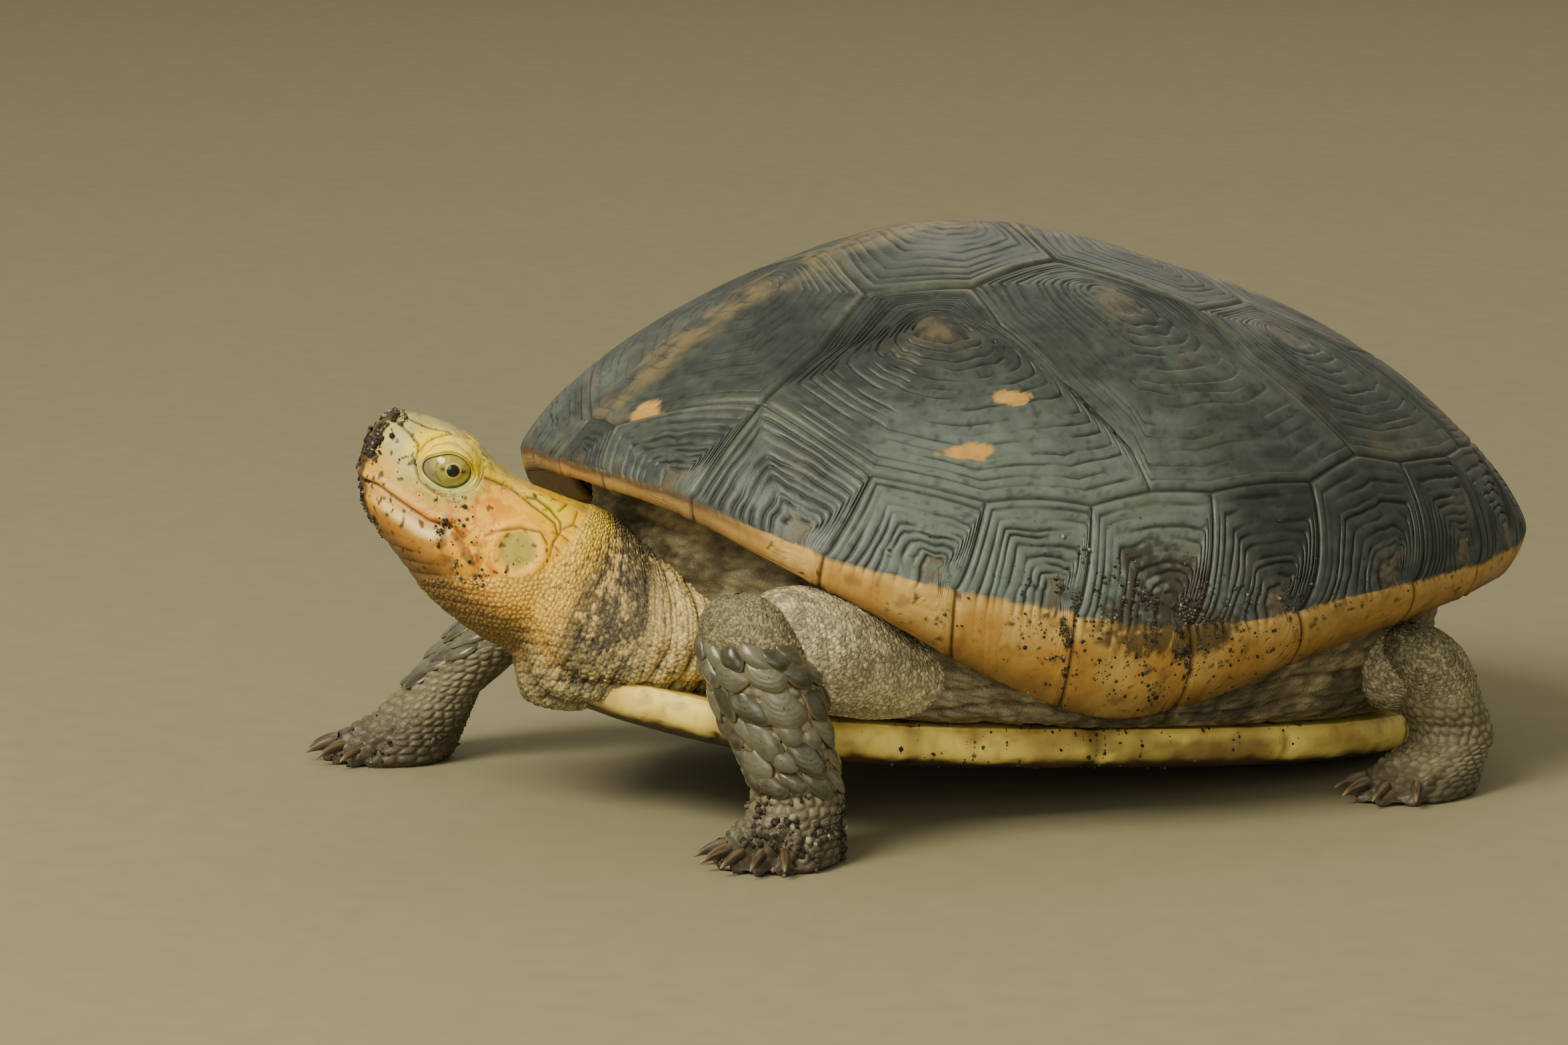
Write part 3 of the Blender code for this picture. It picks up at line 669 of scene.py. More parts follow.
def make_costals():
    for side, sign in SIDES:
        grids = []
        for number, (areola, rings, corners) in enumerate(COSTALS):
            seed = 20 + number + (RIGHT_SEEDS if sign < 0.0 else 0)
            groove = 0.3 if number == 0 else 0.15
            grid, facts = scute(disc_of(corners), disc_of([areola])[0], rings, True, groove, seed)
            paint_dark(grid, facts, seed)
            if sign < 0.0:
                grid = mirror(grid)
            else:
                chip_off(grid)
            grids.append(grid)
        add_piece(f"costal_scutes_{side}", grids, HORN)


def chip_off(grid):
    """Small worn flakes that show ochre under the dark horn."""
    for x, y, radius in CHIPS:
        centre = shell_at(*polar(disc_of([(x, y)])))[0]
        gap = (grid.points - centre) * (1.0, 0.7, 1.7)
        far = np.linalg.norm(gap, axis=-1) + 3.6 * (fractal(grid.points, 2.2, 77) - 0.5)
        bare = 1.0 - blend(radius * 0.8, radius, far)
        flaked = mix((0.58, 0.33, 0.075), (0.36, 0.22, 0.08), fractal(grid.points, 1.2, 78))
        grid.tint = mix(grid.tint, flaked, bare)
        grid.push(-0.1 * bare)
        grid.shine = grid.shine * (1.0 - 0.5 * bare)


def make_vertebrals():
    """The plates along the back, with the pale keel painted down their middle."""
    grids = []
    for number, (areola, rings, corners) in enumerate(VERTEBRALS):
        seed = 60 + number
        line = disc_of(both_sides(corners))
        grid, facts = scute(line, disc_of([areola])[0], rings, True, 0.14, seed)
        cloud = paint_dark(grid, facts, seed)
        local = (grid.points - SHELL_AT) @ SHELL_TURN
        width = 5.0 + 6.0 * (cloud - 0.5) + 4.0 * (fractal(local, 5.0, seed + 4) - 0.5)
        pale = 1.0 - blend(0.45, 1.3, np.abs(local[..., 0]) / np.maximum(width, 1.0))
        pale *= blend(0.25, 0.6, fractal(local * (1.0, 0.6, 1.0), 4.0, seed + 6))
        pale *= blend(0.2, 0.62, fractal(local * (1.6, 0.5, 1.0), 1.8, seed + 7))
        pale *= 1.0 - 0.6 * blend(38.0, 60.0, local[..., 1])
        grid.tint = mix(grid.tint, KEEL_TAN, 0.85 * pale * (1.0 - 0.5 * facts["line"]))
        chip_off(grid)
        grids.append(grid)
    add_piece("vertebral_scutes", grids, HORN, ("carapace",))


def as_strip(spots):
    """Angle and level of a line given as (left, back) from above, straight on the flat disc."""
    spots = disc_of(spots)
    steps = np.linspace(0.0, 1.0, 12, endpoint=False)[:, None]
    fine = [start + (end - start) * steps for start, end in zip(spots, spots[1:])]
    angle, level = polar(np.concatenate(fine + [spots[-1:]]))
    return list(zip(angle, level))


def paint_margin(grid, facts, seed):
    """Dark above the rim, ochre-yellow below it, with soil along the bridge."""
    paint_dark(grid, facts, seed)
    level, angle = facts["spots"][..., 1], np.abs(facts["spots"][..., 0])
    cloud = fractal(grid.points, 6.0, seed + 11)
    fine = fractal(grid.points, 1.6, seed + 12)
    wear = 0.05 * (cloud - 0.5) + 0.05 * (fine - 0.5)
    front = blend(math.radians(38.0), math.radians(20.0), angle)
    below = blend(0.985, 1.02, level + wear)
    yellow = mix(OCHRE, OCHRE_PALE, blend(0.4, 0.8, cloud + 0.35 * bump(level - 1.1, 0.15)))
    yellow = mix(yellow, OCHRE_DARK, 0.6 * blend(0.58, 0.78, fractal(grid.points, 3.2, seed + 14)))
    # painted shade: the ochre is painted darker towards the rear, away from the light
    rear = blend(math.radians(80.0), math.radians(118.0), angle)
    yellow = mix(yellow, OCHRE_DARK, 0.6 * rear)
    lip = front * blend(1.5, 1.25, level + 0.3 * (cloud - 0.5))
    yellow = layers(
        yellow,
        # the front marginals' ochre is darker brown: partly their own colour, partly painted shade
        ((0.27, 0.165, 0.070), 0.75 * front),
        ((0.085, 0.060, 0.034), 0.92 * lip),
        # painted shade: darker brown towards the lowest edge and under it, as shade under the rim
        ((0.12, 0.065, 0.025), 0.7 * blend(1.55, 2.0, level)),
    )
    specks = blend(0.7, 0.76, fractal(grid.points, 0.9, seed + 15, 2)) * blend(0.35, 0.6, cloud)
    yellow = layers(
        yellow,
        (DIRT, 0.85 * specks),
        ((0.05, 0.025, 0.01), 0.85 * bump(facts["edge"], 0.26)),
        (OCHRE_DARK, 0.5 * facts["line"]),
    )
    tint = mix(grid.tint, yellow, below)
    soiled = bump(np.degrees(angle) - 86.0, 17.0) * bump(level - 1.05, 0.42)
    soiled = blend(0.5, 0.75, soiled * (0.1 + 0.7 * cloud + fractal(grid.points, 0.9, seed + 17)))
    grid.tint = mix(tint, DIRT, 0.8 * soiled)
    grid.shine = grid.shine * (1.0 - below) + 0.45 * below - 0.4 * soiled


def make_marginals():
    """The marginals of both sides, the nuchal with those of the left. Gives the left side's grids."""
    made = {}
    for side, sign in SIDES:
        grids = made[side] = []
        for number, tops in enumerate(MARGINAL_TOPS):
            first, last = np.radians(RIM_SEAMS[number:number + 2])
            low_first, low_last = np.radians(SEAM_LEANS[number:number + 2]) + (first, last)
            line = as_strip(tops) + [
                (last, 1.0), (0.5 * (last + low_last), 1.5), (low_last, 2.0), (low_last, 2.9),
                (low_first, 2.9), (low_first, 2.0), (0.5 * (first + low_first), 1.5), (first, 1.0),
            ]
            areola = (first + 0.84 * (last - first), 0.91)
            seed = 100 + number + (RIGHT_SEEDS if sign < 0.0 else 0)
            grid, facts = scute(line, areola, 9, False, 0.34, seed)
            paint_margin(grid, facts, seed)
            grids.append(grid if sign > 0.0 else mirror(grid))
        if sign > 0.0:
            grids.append(make_nuchal())
        add_piece(f"marginal_scutes_{side}", grids, HORN)
    return made["left"]


def make_nuchal():
    """The small plate in front, over the neck."""
    span, seed = math.radians(RIM_SEAMS[0]), 99
    top = as_strip([(-NUCHAL[0], NUCHAL[1]), NUCHAL])
    line = top + [(span, 1.0), (span, 2.9), (-span, 2.9), (-span, 1.0)]
    grid, facts = scute(line, (0.0, 0.93), 5, False, 0.2, seed)
    paint_margin(grid, facts, seed)
    return grid


INNER_PAINT_FROM = 100  # the row from which the wall has its inner colour; the wall itself starts at row 68


def make_bone():
    """The shell's wall under the plates: its outside just below them, the lip and the inside."""
    angle = np.linspace(-math.pi, math.pi, 180, endpoint=False)[None]
    outside = np.concatenate([np.linspace(0.01, 1.0, 44), np.linspace(1.03, 3.0, 24)])[:, None]
    sunk = shell_at(*crossed(angle, outside))
    grid = Grid(sunk, True, SHELL_MIDDLE)
    grid.push(np.full(grid.points.shape[:2], -0.8))
    share = np.linspace(0.99, 0.01, 36)[:, None]
    inner = shell_to_world(dome(*crossed(angle, share), WALL + 0.2))
    points = np.concatenate([grid.points, inner])
    whole = Grid(points, True, SHELL_MIDDLE)
    whole.normal[INNER_PAINT_FROM:] *= -1.0
    whole.tint = mix((0.02, 0.017, 0.012), (0.10, 0.07, 0.035), fractal(points, 6.0, 5))
    cloud = fractal(points[INNER_PAINT_FROM:], 8.0, 6)
    whole.tint[INNER_PAINT_FROM:] = mix((0.05, 0.035, 0.02), (0.16, 0.11, 0.06), cloud)
    add_piece("shell_bone", [whole], HORN)


# ---------------------------------------------------------------- plastron

PLASTRON_CENTRE_Y, PLASTRON_REACH, PLASTRON_HALF_WIDTH, PLASTRON_POWER = 1.0, 74.0, 44.5, 2.4
PLASTRON_TOP, PLASTRON_HINGE_Y, GULAR_LIFT = -18.0, -6.0, 2.6
PLASTRON_EDGE = ((3.2, 0.0), (0.9, 0.5), (0.0, 2.6), (0.7, 4.8), (3.4, 6.4), (13.0, 7.5))
# seams across the belly, as (middle, bend towards the rear at the edge) in mm
PLASTRON_SEAMS = ((-58.0, -9.0), (-33.0, -3.0), (PLASTRON_HINGE_Y, 0.0), (26.0, 4.0), (52.0, 12.0))
PLASTRON_DARK, CREAM = (0.030, 0.020, 0.012), (0.94, 0.75, 0.18)


def make_plastron():
    """The flat shell below: its edge in section, seams, growth lines, dark middle and cream border."""
    turn = np.linspace(0.0, 2.0 * math.pi, int(360 / COARSE), endpoint=False)[None]
    edge = np.array(((16.0, 0.0), *PLASTRON_EDGE, (20.0, 7.5), (30.0, 7.5), (40.0, 7.5), (44.4, 7.5)))
    share = np.linspace(0.0, 1.0, int(110 / COARSE))[:, None]
    inset, depth = np.moveaxis(spline(edge, crossed(share, turn)[0]), -1, 0)
    radius = (np.abs(np.cos(turn)) ** PLASTRON_POWER + np.abs(np.sin(turn)) ** PLASTRON_POWER) ** (
        -1.0 / PLASTRON_POWER)
    x = (PLASTRON_HALF_WIDTH - inset) * radius * np.cos(turn)
    y = (PLASTRON_REACH - inset) * radius * np.sin(turn)
    # the innermost rows draw in to a point
    y = np.where(inset > 40.0, y * (PLASTRON_HALF_WIDTH - inset) / 4.5, y) + PLASTRON_CENTRE_Y
    z = PLASTRON_TOP - depth + GULAR_LIFT * blend(48.0, 76.0, -y)
    grid = Grid(shell_to_world(np.stack([x, y, z], -1)), True, (0.0, 8.0, 9.5))
    side = np.abs(x) / PLASTRON_HALF_WIDTH
    seam = bump(x, 0.35)
    ring = np.full(x.shape, 99.0)
    for middle, bend in PLASTRON_SEAMS:
        gap = np.abs(y - middle - bend * side**1.5)
        hinge = middle == PLASTRON_HINGE_Y
        seam = np.maximum(seam, bump(gap, 0.8 if hinge else 0.35))
        ring = np.minimum(ring, gap)
    lines = bump((ring + 0.8 * fractal(grid.points, 5.0, 31)) % 2.2 - 1.1, 0.22)
    lines *= blend(14.0, 8.0, ring) * blend(0.35, 0.6, fractal(grid.points, 6.0, 33))
    grid.push(-0.4 * seam - 0.12 * lines + 0.25 * (fractal(grid.points, 7.0, 34) - 0.5))
    cloud = fractal(grid.points, 7.0, 35)
    fine = fractal(grid.points, 1.8, 36)
    cream = mix(CREAM, (0.52, 0.33, 0.09), blend(0.4, 0.75, cloud))
    cream = mix(cream, OCHRE_DARK, 0.35 * blend(0.6, 0.75, fine))
    dark = mix(PLASTRON_DARK, (0.085, 0.048, 0.02), blend(0.35, 0.7, cloud))
    inward = blend(4.4, 5.6, depth + 1.6 * (cloud - 0.5) + 0.9 * (fine - 0.5))
    tint = mix(cream, dark, inward)
    bridge = bump(y - 10.0, 26.0) * blend(0.55, 0.8, side) * blend(0.45, 0.6, cloud + 0.2 * fine)
    tint = mix(tint, DIRT, 0.6 * bridge * blend(0.5, 2.5, depth))
    tint = mix(tint, (0.025, 0.015, 0.008), 0.85 * seam)
    grid.tint = mix(tint, DIRT, 0.35 * lines)
    grid.shine = 0.5 - 0.3 * inward
    add_piece("plastron_scutes", [grid], PALE_HORN, ("plastron_front", "plastron_rear"))
    return grid


make_bone()
make_costals()
make_vertebrals()
MARGINS = make_marginals()
PLASTRON = make_plastron()


# ---------------------------------------------------------------- tubes of flesh

def rounded(angle, half_width, half_height, power=2.0, upper=None):
    """A superellipse, its upper half squarer or rounder where upper is given."""
    across, over = np.cos(angle), np.sin(angle)
    if upper is not None:
        power = np.where(over > 0.0, power + (upper - power) * blend(0.0, 0.5, over), power)
    radius = (np.abs(across) ** power + np.abs(over) ** power) ** (-1.0 / power)
    return half_width * radius * across, half_height * radius * over


def tube_at(stations, share, angle):
    """Points of a tube: each station is x, y, z, half width, half height, pitch, turn, lower and
    upper squareness. A pitch of 90 with a turn lays the cross-section level."""
    x, y, z, wide, high, pitch, turn, power, upper = np.moveaxis(spline(stations, share), -1, 0)
    pitch, turn = np.radians(pitch), np.radians(turn)
    across, over = rounded(angle, wide, high, power, upper)
    low_y, low_z = -np.sin(pitch) * over, np.cos(pitch) * over
    return np.stack([
        x + across * np.cos(turn) - low_y * np.sin(turn),
        y + across * np.sin(turn) + low_y * np.cos(turn),
        z + low_z,
    ], -1)


def tube(stations, around, step):
    """A grid on a tube with rows an even step apart; also each row's distance along and the angles."""
    stations = [tuple(row) + (2.0, 2.0)[: 9 - len(row)] for row in stations]
    angle = np.linspace(-math.pi / 2.0, 1.5 * math.pi, int(around / COARSE), endpoint=False)[None]
    fine = np.linspace(0.0, 1.0, 1500)[:, None]
    path = tube_at(stations, fine, angle[:, :: max(1, around // 24)])
    pace = np.linalg.norm(np.diff(path, axis=0), axis=-1).max(axis=1)
    far = np.concatenate([[0.0], np.cumsum(pace)])
    rows = int(far[-1] / (step * COARSE)) + 2
    along = np.linspace(0.0, far[-1], rows)
    share = np.interp(along, far, fine[:, 0])[:, None]
    along, angle, share = crossed(along[:, None], angle, share)
    grid = Grid(tube_at(stations, share, angle), True, (0.0, 0.0, 0.0))
    middle = grid.points.mean(axis=1, keepdims=True)
    if ((grid.points - middle) * grid.normal).sum() < 0.0:
        grid.normal = -grid.normal
    return grid, along, angle


def granules(grid, along, angle, wide, long, seed, jitter=0.6):
    """Small rounded scales in rows: how high each point stands, 0 to 1, and a number per scale."""
    girth = np.linalg.norm(grid.points - np.roll(grid.points, 1, axis=1), axis=-1).sum(axis=1)
    count = max(6, round(float(np.median(girth)) / wide))
    place = np.stack([(angle / (2.0 * math.pi) + 0.25) * count, along / long], -1)
    border, chance = cells_round(place, count, seed, jitter)
    return blend(0.0, 0.42, border), chance


def gap_to_line(across, up, line):
    """How far points of a plane are from a broken line."""
    line = np.asarray(line, float)
    best = np.full(across.shape, 1e9)
    for start, end in zip(line[:-1], line[1:]):
        run = end - start
        share = np.clip(((across - start[0]) * run[0] + (up - start[1]) * run[1]) / (run @ run), 0, 1)
        best = np.minimum(best, np.hypot(across - start[0] - share * run[0], up - start[1] - share * run[1]))
    return best


# ---------------------------------------------------------------- head and neck

HEAD_AT = np.array((-12.6, -79.6, 51.9))
HEAD_PITCH, HEAD_YAW = -29.0, -28.0
HEAD_TURN = turned(math.radians(HEAD_PITCH), math.radians(HEAD_YAW))
# forward of the eyes, crown, throat and half width
HEAD_PROFILE = (
    (15.1, -0.4, -1.4, 0.6), (14.6, 1.6, -5.0, 3.6), (12.8, 3.7, -8.8, 5.5), (9.6, 4.9, -12.2, 7.2),
    (5.0, 5.7, -14.8, 8.9), (1.0, 5.5, -16.6, 10.1), (-4.0, 4.1, -18.6, 11.3), (-9.0, 3.4, -19.8, 12.2),
    (-15.0, 4.0, -20.5, 12.6),
)
NECK = (
    (-6.1, -67.4, 35.2, 12.2, 12.8, -29.0, -28.0, 2.2, 2.4),
    (-5.2, -63.9, 30.2, 15.2, 15.6, -24.0, -16.0, 2.0, 2.0),
    (0.5, -55.5, 28.6, 21.3, 10.9, -10.0, -6.0, 2.0, 2.0),
    (1.0, -44.5, 27.6, 21.6, 9.0, 0.0, 0.0, 2.0, 2.0),
)
EYE_AT = np.array((6.05, -2.5, 1.0))
EYE_RADIUS, EYE_FLAT = 4.3, 0.86
EYE_TILT = math.radians(19.0)  # the lids' long axis against the head's
LID_MIDDLE, LID_OUTER = (0.1, 0.1), (4.9, 4.0)
OPENING_MIDDLE, OPENING = (-0.15, -0.3), (3.75, 2.75)
IRIS_MIDDLE, IRIS_RADIUS, PUPIL_RADIUS = (0.8, 0.0), 2.6, 0.98
EAR_AT, EAR_RADIUS = (-12.7, -4.5), 2.75
# Lines on the side of the head, as (forward of the eyes, above them) in mm. Most of their points, and of
# SCALES_FROM, were measured: a scratch script cast points of the photo on to the head and printed them.
MOUTH = (
    (-1.6, -6.3), (-0.8, -6.8), (1.4, -7.4), (4.1, -7.3), (7.2, -7.1), (10.7, -6.9), (13.4, -7.7),
    (16.0, -8.4),
)
JAW_FOLD = ((-1.4, -6.4), (-2.8, -6.7), (-6.2, -7.6), (-7.9, -9.2), (-9.2, -11.0))
CHEEK_FOLD = ((-1.6, -6.6), (-2.2, -9.0), (-4.4, -11.6))
NOSE_LINE = ((14.0, 2.3), (12.4, 2.9), (10.1, 2.5), (8.1, 1.7), (7.3, 0.2), (6.9, -0.9))
BROW_LINE = ((11.6, 3.9), (8.2, 4.3), (5.0, 5.0), (1.0, 5.0), (-2.4, 4.4))
STRIPE_EDGE = (
    (-3.2, 2.2), (-5.0, 2.5), (-7.1, 2.6), (-9.6, 2.3), (-11.4, 2.0), (-13.7, 1.8), (-15.8, 1.5),
    (-16.9, 0.4),
)
LOOP = ((-10.4, 2.5), (-11.8, 2.9), (-14.3, 2.7), (-16.5, 2.0), (-17.2, 0.8), (-16.9, -0.8))
NAPE_LINES = (
    ((-15.6, 3.0), (-16.4, 4.2)), ((-17.3, 1.4), (-18.4, 2.6), (-18.2, 4.0)), ((-17.2, 0.6), (-19.6, 0.2)),
    ((-17.0, -1.2), (-19.4, -2.0)), ((-18.4, 2.6), (-20.4, 2.4)), ((-16.9, -0.8), (-17.4, -3.0)),
)
EAR_ARC = ((-7.4, -4.9), (-8.2, -3.8), (-9.4, -2.9), (-11.5, -1.4), (-14.5, -0.6), (-16.3, -1.6))
STRIPE_LOW = (
    (-19.5, 1.3), (-16.0, 1.6), (-13.7, 1.9), (-11.4, 2.1), (-9.6, 2.4), (-7.1, 2.6), (-4.0, 2.4),
    (-2.6, 2.3),
)
STRIPE_HIGH = ((-19.5, 4.2), (-16.0, 4.1), (-13.3, 3.9), (-10.5, 3.7), (-6.6, 3.4), (-4.0, 3.3), (-2.6, 3.2))
# how far back the bare skin of the head reaches, at heights from the throat to the crown
SCALES_FROM = (
    (-21.0, -0.6), (-16.0, -1.8), (-13.4, -4.6), (-11.6, -8.4), (-9.8, -11.5), (-7.7, -15.0), (-5.2, -17.3),
    (-2.5, -18.2), (0.8, -18.9), (4.1, -19.2), (7.0, -19.4),
)


def head_frame(points):
    """Forward of the eyes, above them and to the left, of points in the row frame."""
    local = (points - HEAD_AT) @ HEAD_TURN
    return -local[..., 1], local[..., 2], local[..., 0]


def from_head(left, ahead, up):
    """Points in the row frame from places on the head: the other way round from head_frame."""
    return stacked(left, -ahead, up) @ HEAD_TURN.T + HEAD_AT


def eye_plane(ahead, up):
    """Across the eye towards the rear, and up it, in the tilted frame of the lids."""
    da, du = ahead + EYE_AT[1], up - EYE_AT[2]
    c, s = math.cos(EYE_TILT), math.sin(EYE_TILT)
    return -c * da + s * du, s * da + c * du


def head_stations():
    rows = []
    for ahead, crown, throat, wide in HEAD_PROFILE:
        centre = from_head(0.0, ahead, (crown + throat) / 2.0)
        rows.append((*centre, wide, (crown - throat) / 2.0, HEAD_PITCH, HEAD_YAW, 2.25, 2.35))
    return rows + list(NECK)


def lid_ring(ahead, up):
    """1 on the outline of the eyelids and less inside it; also how far up the eye each place is."""
    across, over = eye_plane(ahead, up)
    ring = np.hypot((across - LID_MIDDLE[0]) / LID_OUTER[0], (over - LID_MIDDLE[1]) / LID_OUTER[1])
    return ring, over


def head_relief(ahead, up, left, scaly, points):
    """How far the head's skin stands out: lips, lids, ear, lines, nostrils, creases and throat."""
    side = np.abs(left)
    smooth = 1.0 - scaly
    lips = up - through(MOUTH, ahead)
    speaks = blend(-2.4, -1.2, ahead)
    height = speaks * (-0.7 * bump(lips, 0.24) + 0.4 * bump(lips - 0.8, 0.6) - 0.25 * bump(lips + 1.6, 1.1))
    height += speaks * 0.35 * bump(lips + 2.6, 0.8) * blend(12.0, 8.0, ahead)
    height -= 0.4 * bump(gap_to_line(ahead, up, JAW_FOLD), 0.45)
    height -= 0.35 * bump(gap_to_line(ahead, up, CHEEK_FOLD), 0.4)
    height += 0.3 * bump(gap_to_line(ahead, up, ((-2.0, -9.5), (-2.0, -13.0))), 1.6) * smooth
    ring, over = lid_ring(ahead, up)
    flank = blend(2.5, 4.5, side)
    height += flank * (0.35 * bump(ring - 1.14, 0.2) * blend(-2.0, 2.0, over) - 2.6 * blend(0.97, 0.7, ring))
    below = flank * 0.25 * bump(ring - 1.15, 0.18) * blend(1.0, -3.0, over)
    height += below - flank * 0.3 * bump(ring - 1.0, 0.06)
    ear = np.hypot(ahead - EAR_AT[0], up - EAR_AT[1])
    height += -0.28 * blend(EAR_RADIUS + 0.6, EAR_RADIUS - 0.7, ear) + 0.35 * bump(ear - 4.0, 0.8) * smooth
    height -= 0.3 * bump(gap_to_line(ahead, up, EAR_ARC), 0.24)
    cut = ((NOSE_LINE, 0.28, 0.22), (STRIPE_EDGE, 0.22, 0.22), (LOOP, 0.22, 0.2), (BROW_LINE, 0.12, 0.24))
    for line, depth, width in cut + tuple((line, 0.16, 0.18) for line in NAPE_LINES):
        height -= depth * bump(gap_to_line(ahead, up, line), width) * blend(1.5, 4.0, side)
    nostril = np.sqrt((ahead - 14.2) ** 2 + (up - 0.8) ** 2 + (side - 1.7) ** 2)
    height -= 0.9 * bump(nostril, 0.6)
    height += smooth * 0.35 * (fractal(points, 4.2, 41) - 0.5)
    creases = np.abs(fractal(points, 1.9, 43, 2) - 0.5)
    height -= smooth * 0.1 * bump(creases, 0.022) * blend(0.4, 0.6, noise(points, 5.0, 40))
    # the throat's loose folds
    fold = np.abs(np.sin((up + 0.45 * ahead + 1.3 * fractal(points, 7.0, 44)) * 1.6))
    throat = blend(-11.0, -15.0, up) * blend(9.0, 3.0, ahead)
    return height - 0.3 * throat * (1.0 - fold) ** 2


SNOUT, PEACH, CROWN = (0.50, 0.455, 0.11), (0.75, 0.45, 0.08), (0.44, 0.36, 0.075)
CHEEK, YELLOW, ORANGE = (1.0, 0.50, 0.020), (1.0, 0.70, 0.0), (0.80, 0.35, 0.035)
JAW_CREAM_AND_SHEEN, EAR_OLIVE, CHIN = (1.0, 0.80, 0.34), (0.48, 0.38, 0.055), (0.080, 0.050, 0.026)
LINE_DARK, NECK_OCHRE, NECK_BROWN = (0.035, 0.032, 0.016), (1.0, 0.58, 0.10), (0.64, 0.46, 0.19)
NECK_TOP, NECK_PALE, NECK_DARK = (0.19, 0.175, 0.10), (0.56, 0.48, 0.22), (0.038, 0.035, 0.024)
NECK_YELLOW, FOLD_GREY = (1.0, 0.68, 0.09), (0.19, 0.17, 0.095)


def head_paint(ahead, up, left, points):
    """The head's colours, and the clouds that they are mottled with."""
    side = np.abs(left)
    flank = blend(2.0, 4.0, side)
    cloud, fine = fractal(points, 5.0, 51), fractal(points, 1.3, 52)
    lips = up - through(MOUTH, ahead)
    tint = mix(SNOUT, PEACH, blend(1.5, -5.0, up + 2.0 * (cloud - 0.5)))
    tint = layers(
        tint,
        ((0.55, 0.52, 0.22), 0.7 * bump(gap_to_line(ahead, up, ((11.0, 1.5), (8.2, -2.5))), 2.0)),
        (ORANGE, 0.4 * blend(8.0, 13.0, ahead) * blend(-2.0, -7.0, up)),
        ((0.80, 0.38, 0.03), 0.45 * blend(1.5, -2.5, ahead) * blend(-2.5, -5.5, up)),
        (CROWN, blend(3.6, 5.0, up + 0.6 * (cloud - 0.5)) * blend(8.0, 6.0, side)),
        (CHEEK, blend(-0.5, -4.5, ahead) * blend(3.6, 2.6, up)),
    )
    amber = 0.6 * blend(0.5, 0.7, fractal(points, 3.0, 50)) * blend(-2.0, -5.0, ahead)
    tint = mix(tint, (1.0, 0.60, 0.04), amber)
    rust = 0.75 * blend(0.45, 0.66, fractal(points, 1.5, 59)) * blend(2.0, -3.0, ahead + up)
    tint = mix(tint, (0.78, 0.26, 0.012), rust)
    gold = blend(-7.0, -12.0, ahead) * blend(-7.0, -3.0, up) * blend(0.3, 0.55, cloud + 0.12)
    tint = mix(tint, (1.0, 0.56, 0.0), 0.8 * gold)
    ring, over = lid_ring(ahead, up)
    yellow_lid = blend(1.75, 1.2, ring) * blend(-0.5, 2.0, over) * flank
    tint = layers(
        tint,
        ((1.0, 0.74, 0.0), yellow_lid),
        ((0.55, 0.55, 0.16), 0.7 * bump(ring - 1.2, 0.16) * blend(0.5, -2.0, over) * flank),
        (ORANGE, 0.9 * blend(-0.6, -4.5, lips) * blend(-10.0, -3.0, ahead + 0.3 * up)),
    )
    # the cream band on the lower jaw is the jaw's own pale edge with a painted highlight on it
    jaw = blend(0.0, -0.3, lips) * blend(-3.0, -1.6, ahead)
    band = blend(-3.9, -1.5, lips + 1.0 * (cloud - 0.5)) * blend(12.5, 4.0, ahead + 2.0 * (fine - 0.5))
    tint = layers(
        tint,
        (JAW_CREAM_AND_SHEEN, 0.85 * jaw * band),
        ((0.90, 0.48, 0.16), 0.5 * jaw * bump(lips + 0.4, 0.8)),
        (CHIN, blend(-8.6, -14.0, up + 1.2 * (cloud - 0.5)) * 0.88),
    )
    ear = np.hypot(ahead - EAR_AT[0], (up - EAR_AT[1]) * 0.97)
    tint = mix(tint, (1.0, 0.55, 0.05), 0.8 * blend(4.9, 3.6, ear))
    tint = mix(tint, EAR_OLIVE, blend(3.3, 2.3, ear + 0.5 * (fine - 0.5)))
    low, high = through(STRIPE_LOW, ahead), through(STRIPE_HIGH, ahead)
    stripe = blend(-0.1, 0.15, up - low) * blend(-0.15, 0.15, high - up) * blend(-2.2, -3.2, ahead) * flank
    tint = mix(tint, YELLOW, stripe)
    tint = mix(tint, (0.95, 0.46, 0.01), 0.6 * stripe * blend(-15.5, -18.0, ahead))
    line = np.zeros(ahead.shape)
    drawn = ((STRIPE_EDGE, 0.2), (LOOP, 0.2), (NOSE_LINE, 0.22), (BROW_LINE, 0.14), (EAR_ARC, 0.17))
    for path, width in drawn + tuple((path, 0.15) for path in NAPE_LINES):
        line = np.maximum(line, bump(gap_to_line(ahead, up, path), width))
    line = np.maximum(line, flank * bump(ring - 1.0, 0.07))
    line *= blend(1.0, 3.5, side) * blend(0.0, 0.4, fine)
    tint = mix(tint, LINE_DARK, 0.85 * line)
    speaks = blend(-2.4, -1.2, ahead)
    # painted shadow: the dark mouth line and the soft brown-orange band just under it stand for the shade
    # that the upper jaw's edge casts
    tint = mix(tint, (0.17, 0.07, 0.02), 0.85 * bump(lips, 0.3) * speaks)
    tint = mix(tint, (0.50, 0.20, 0.06), 0.45 * bump(lips + 0.45, 0.5) * speaks * blend(12.0, 3.0, ahead))
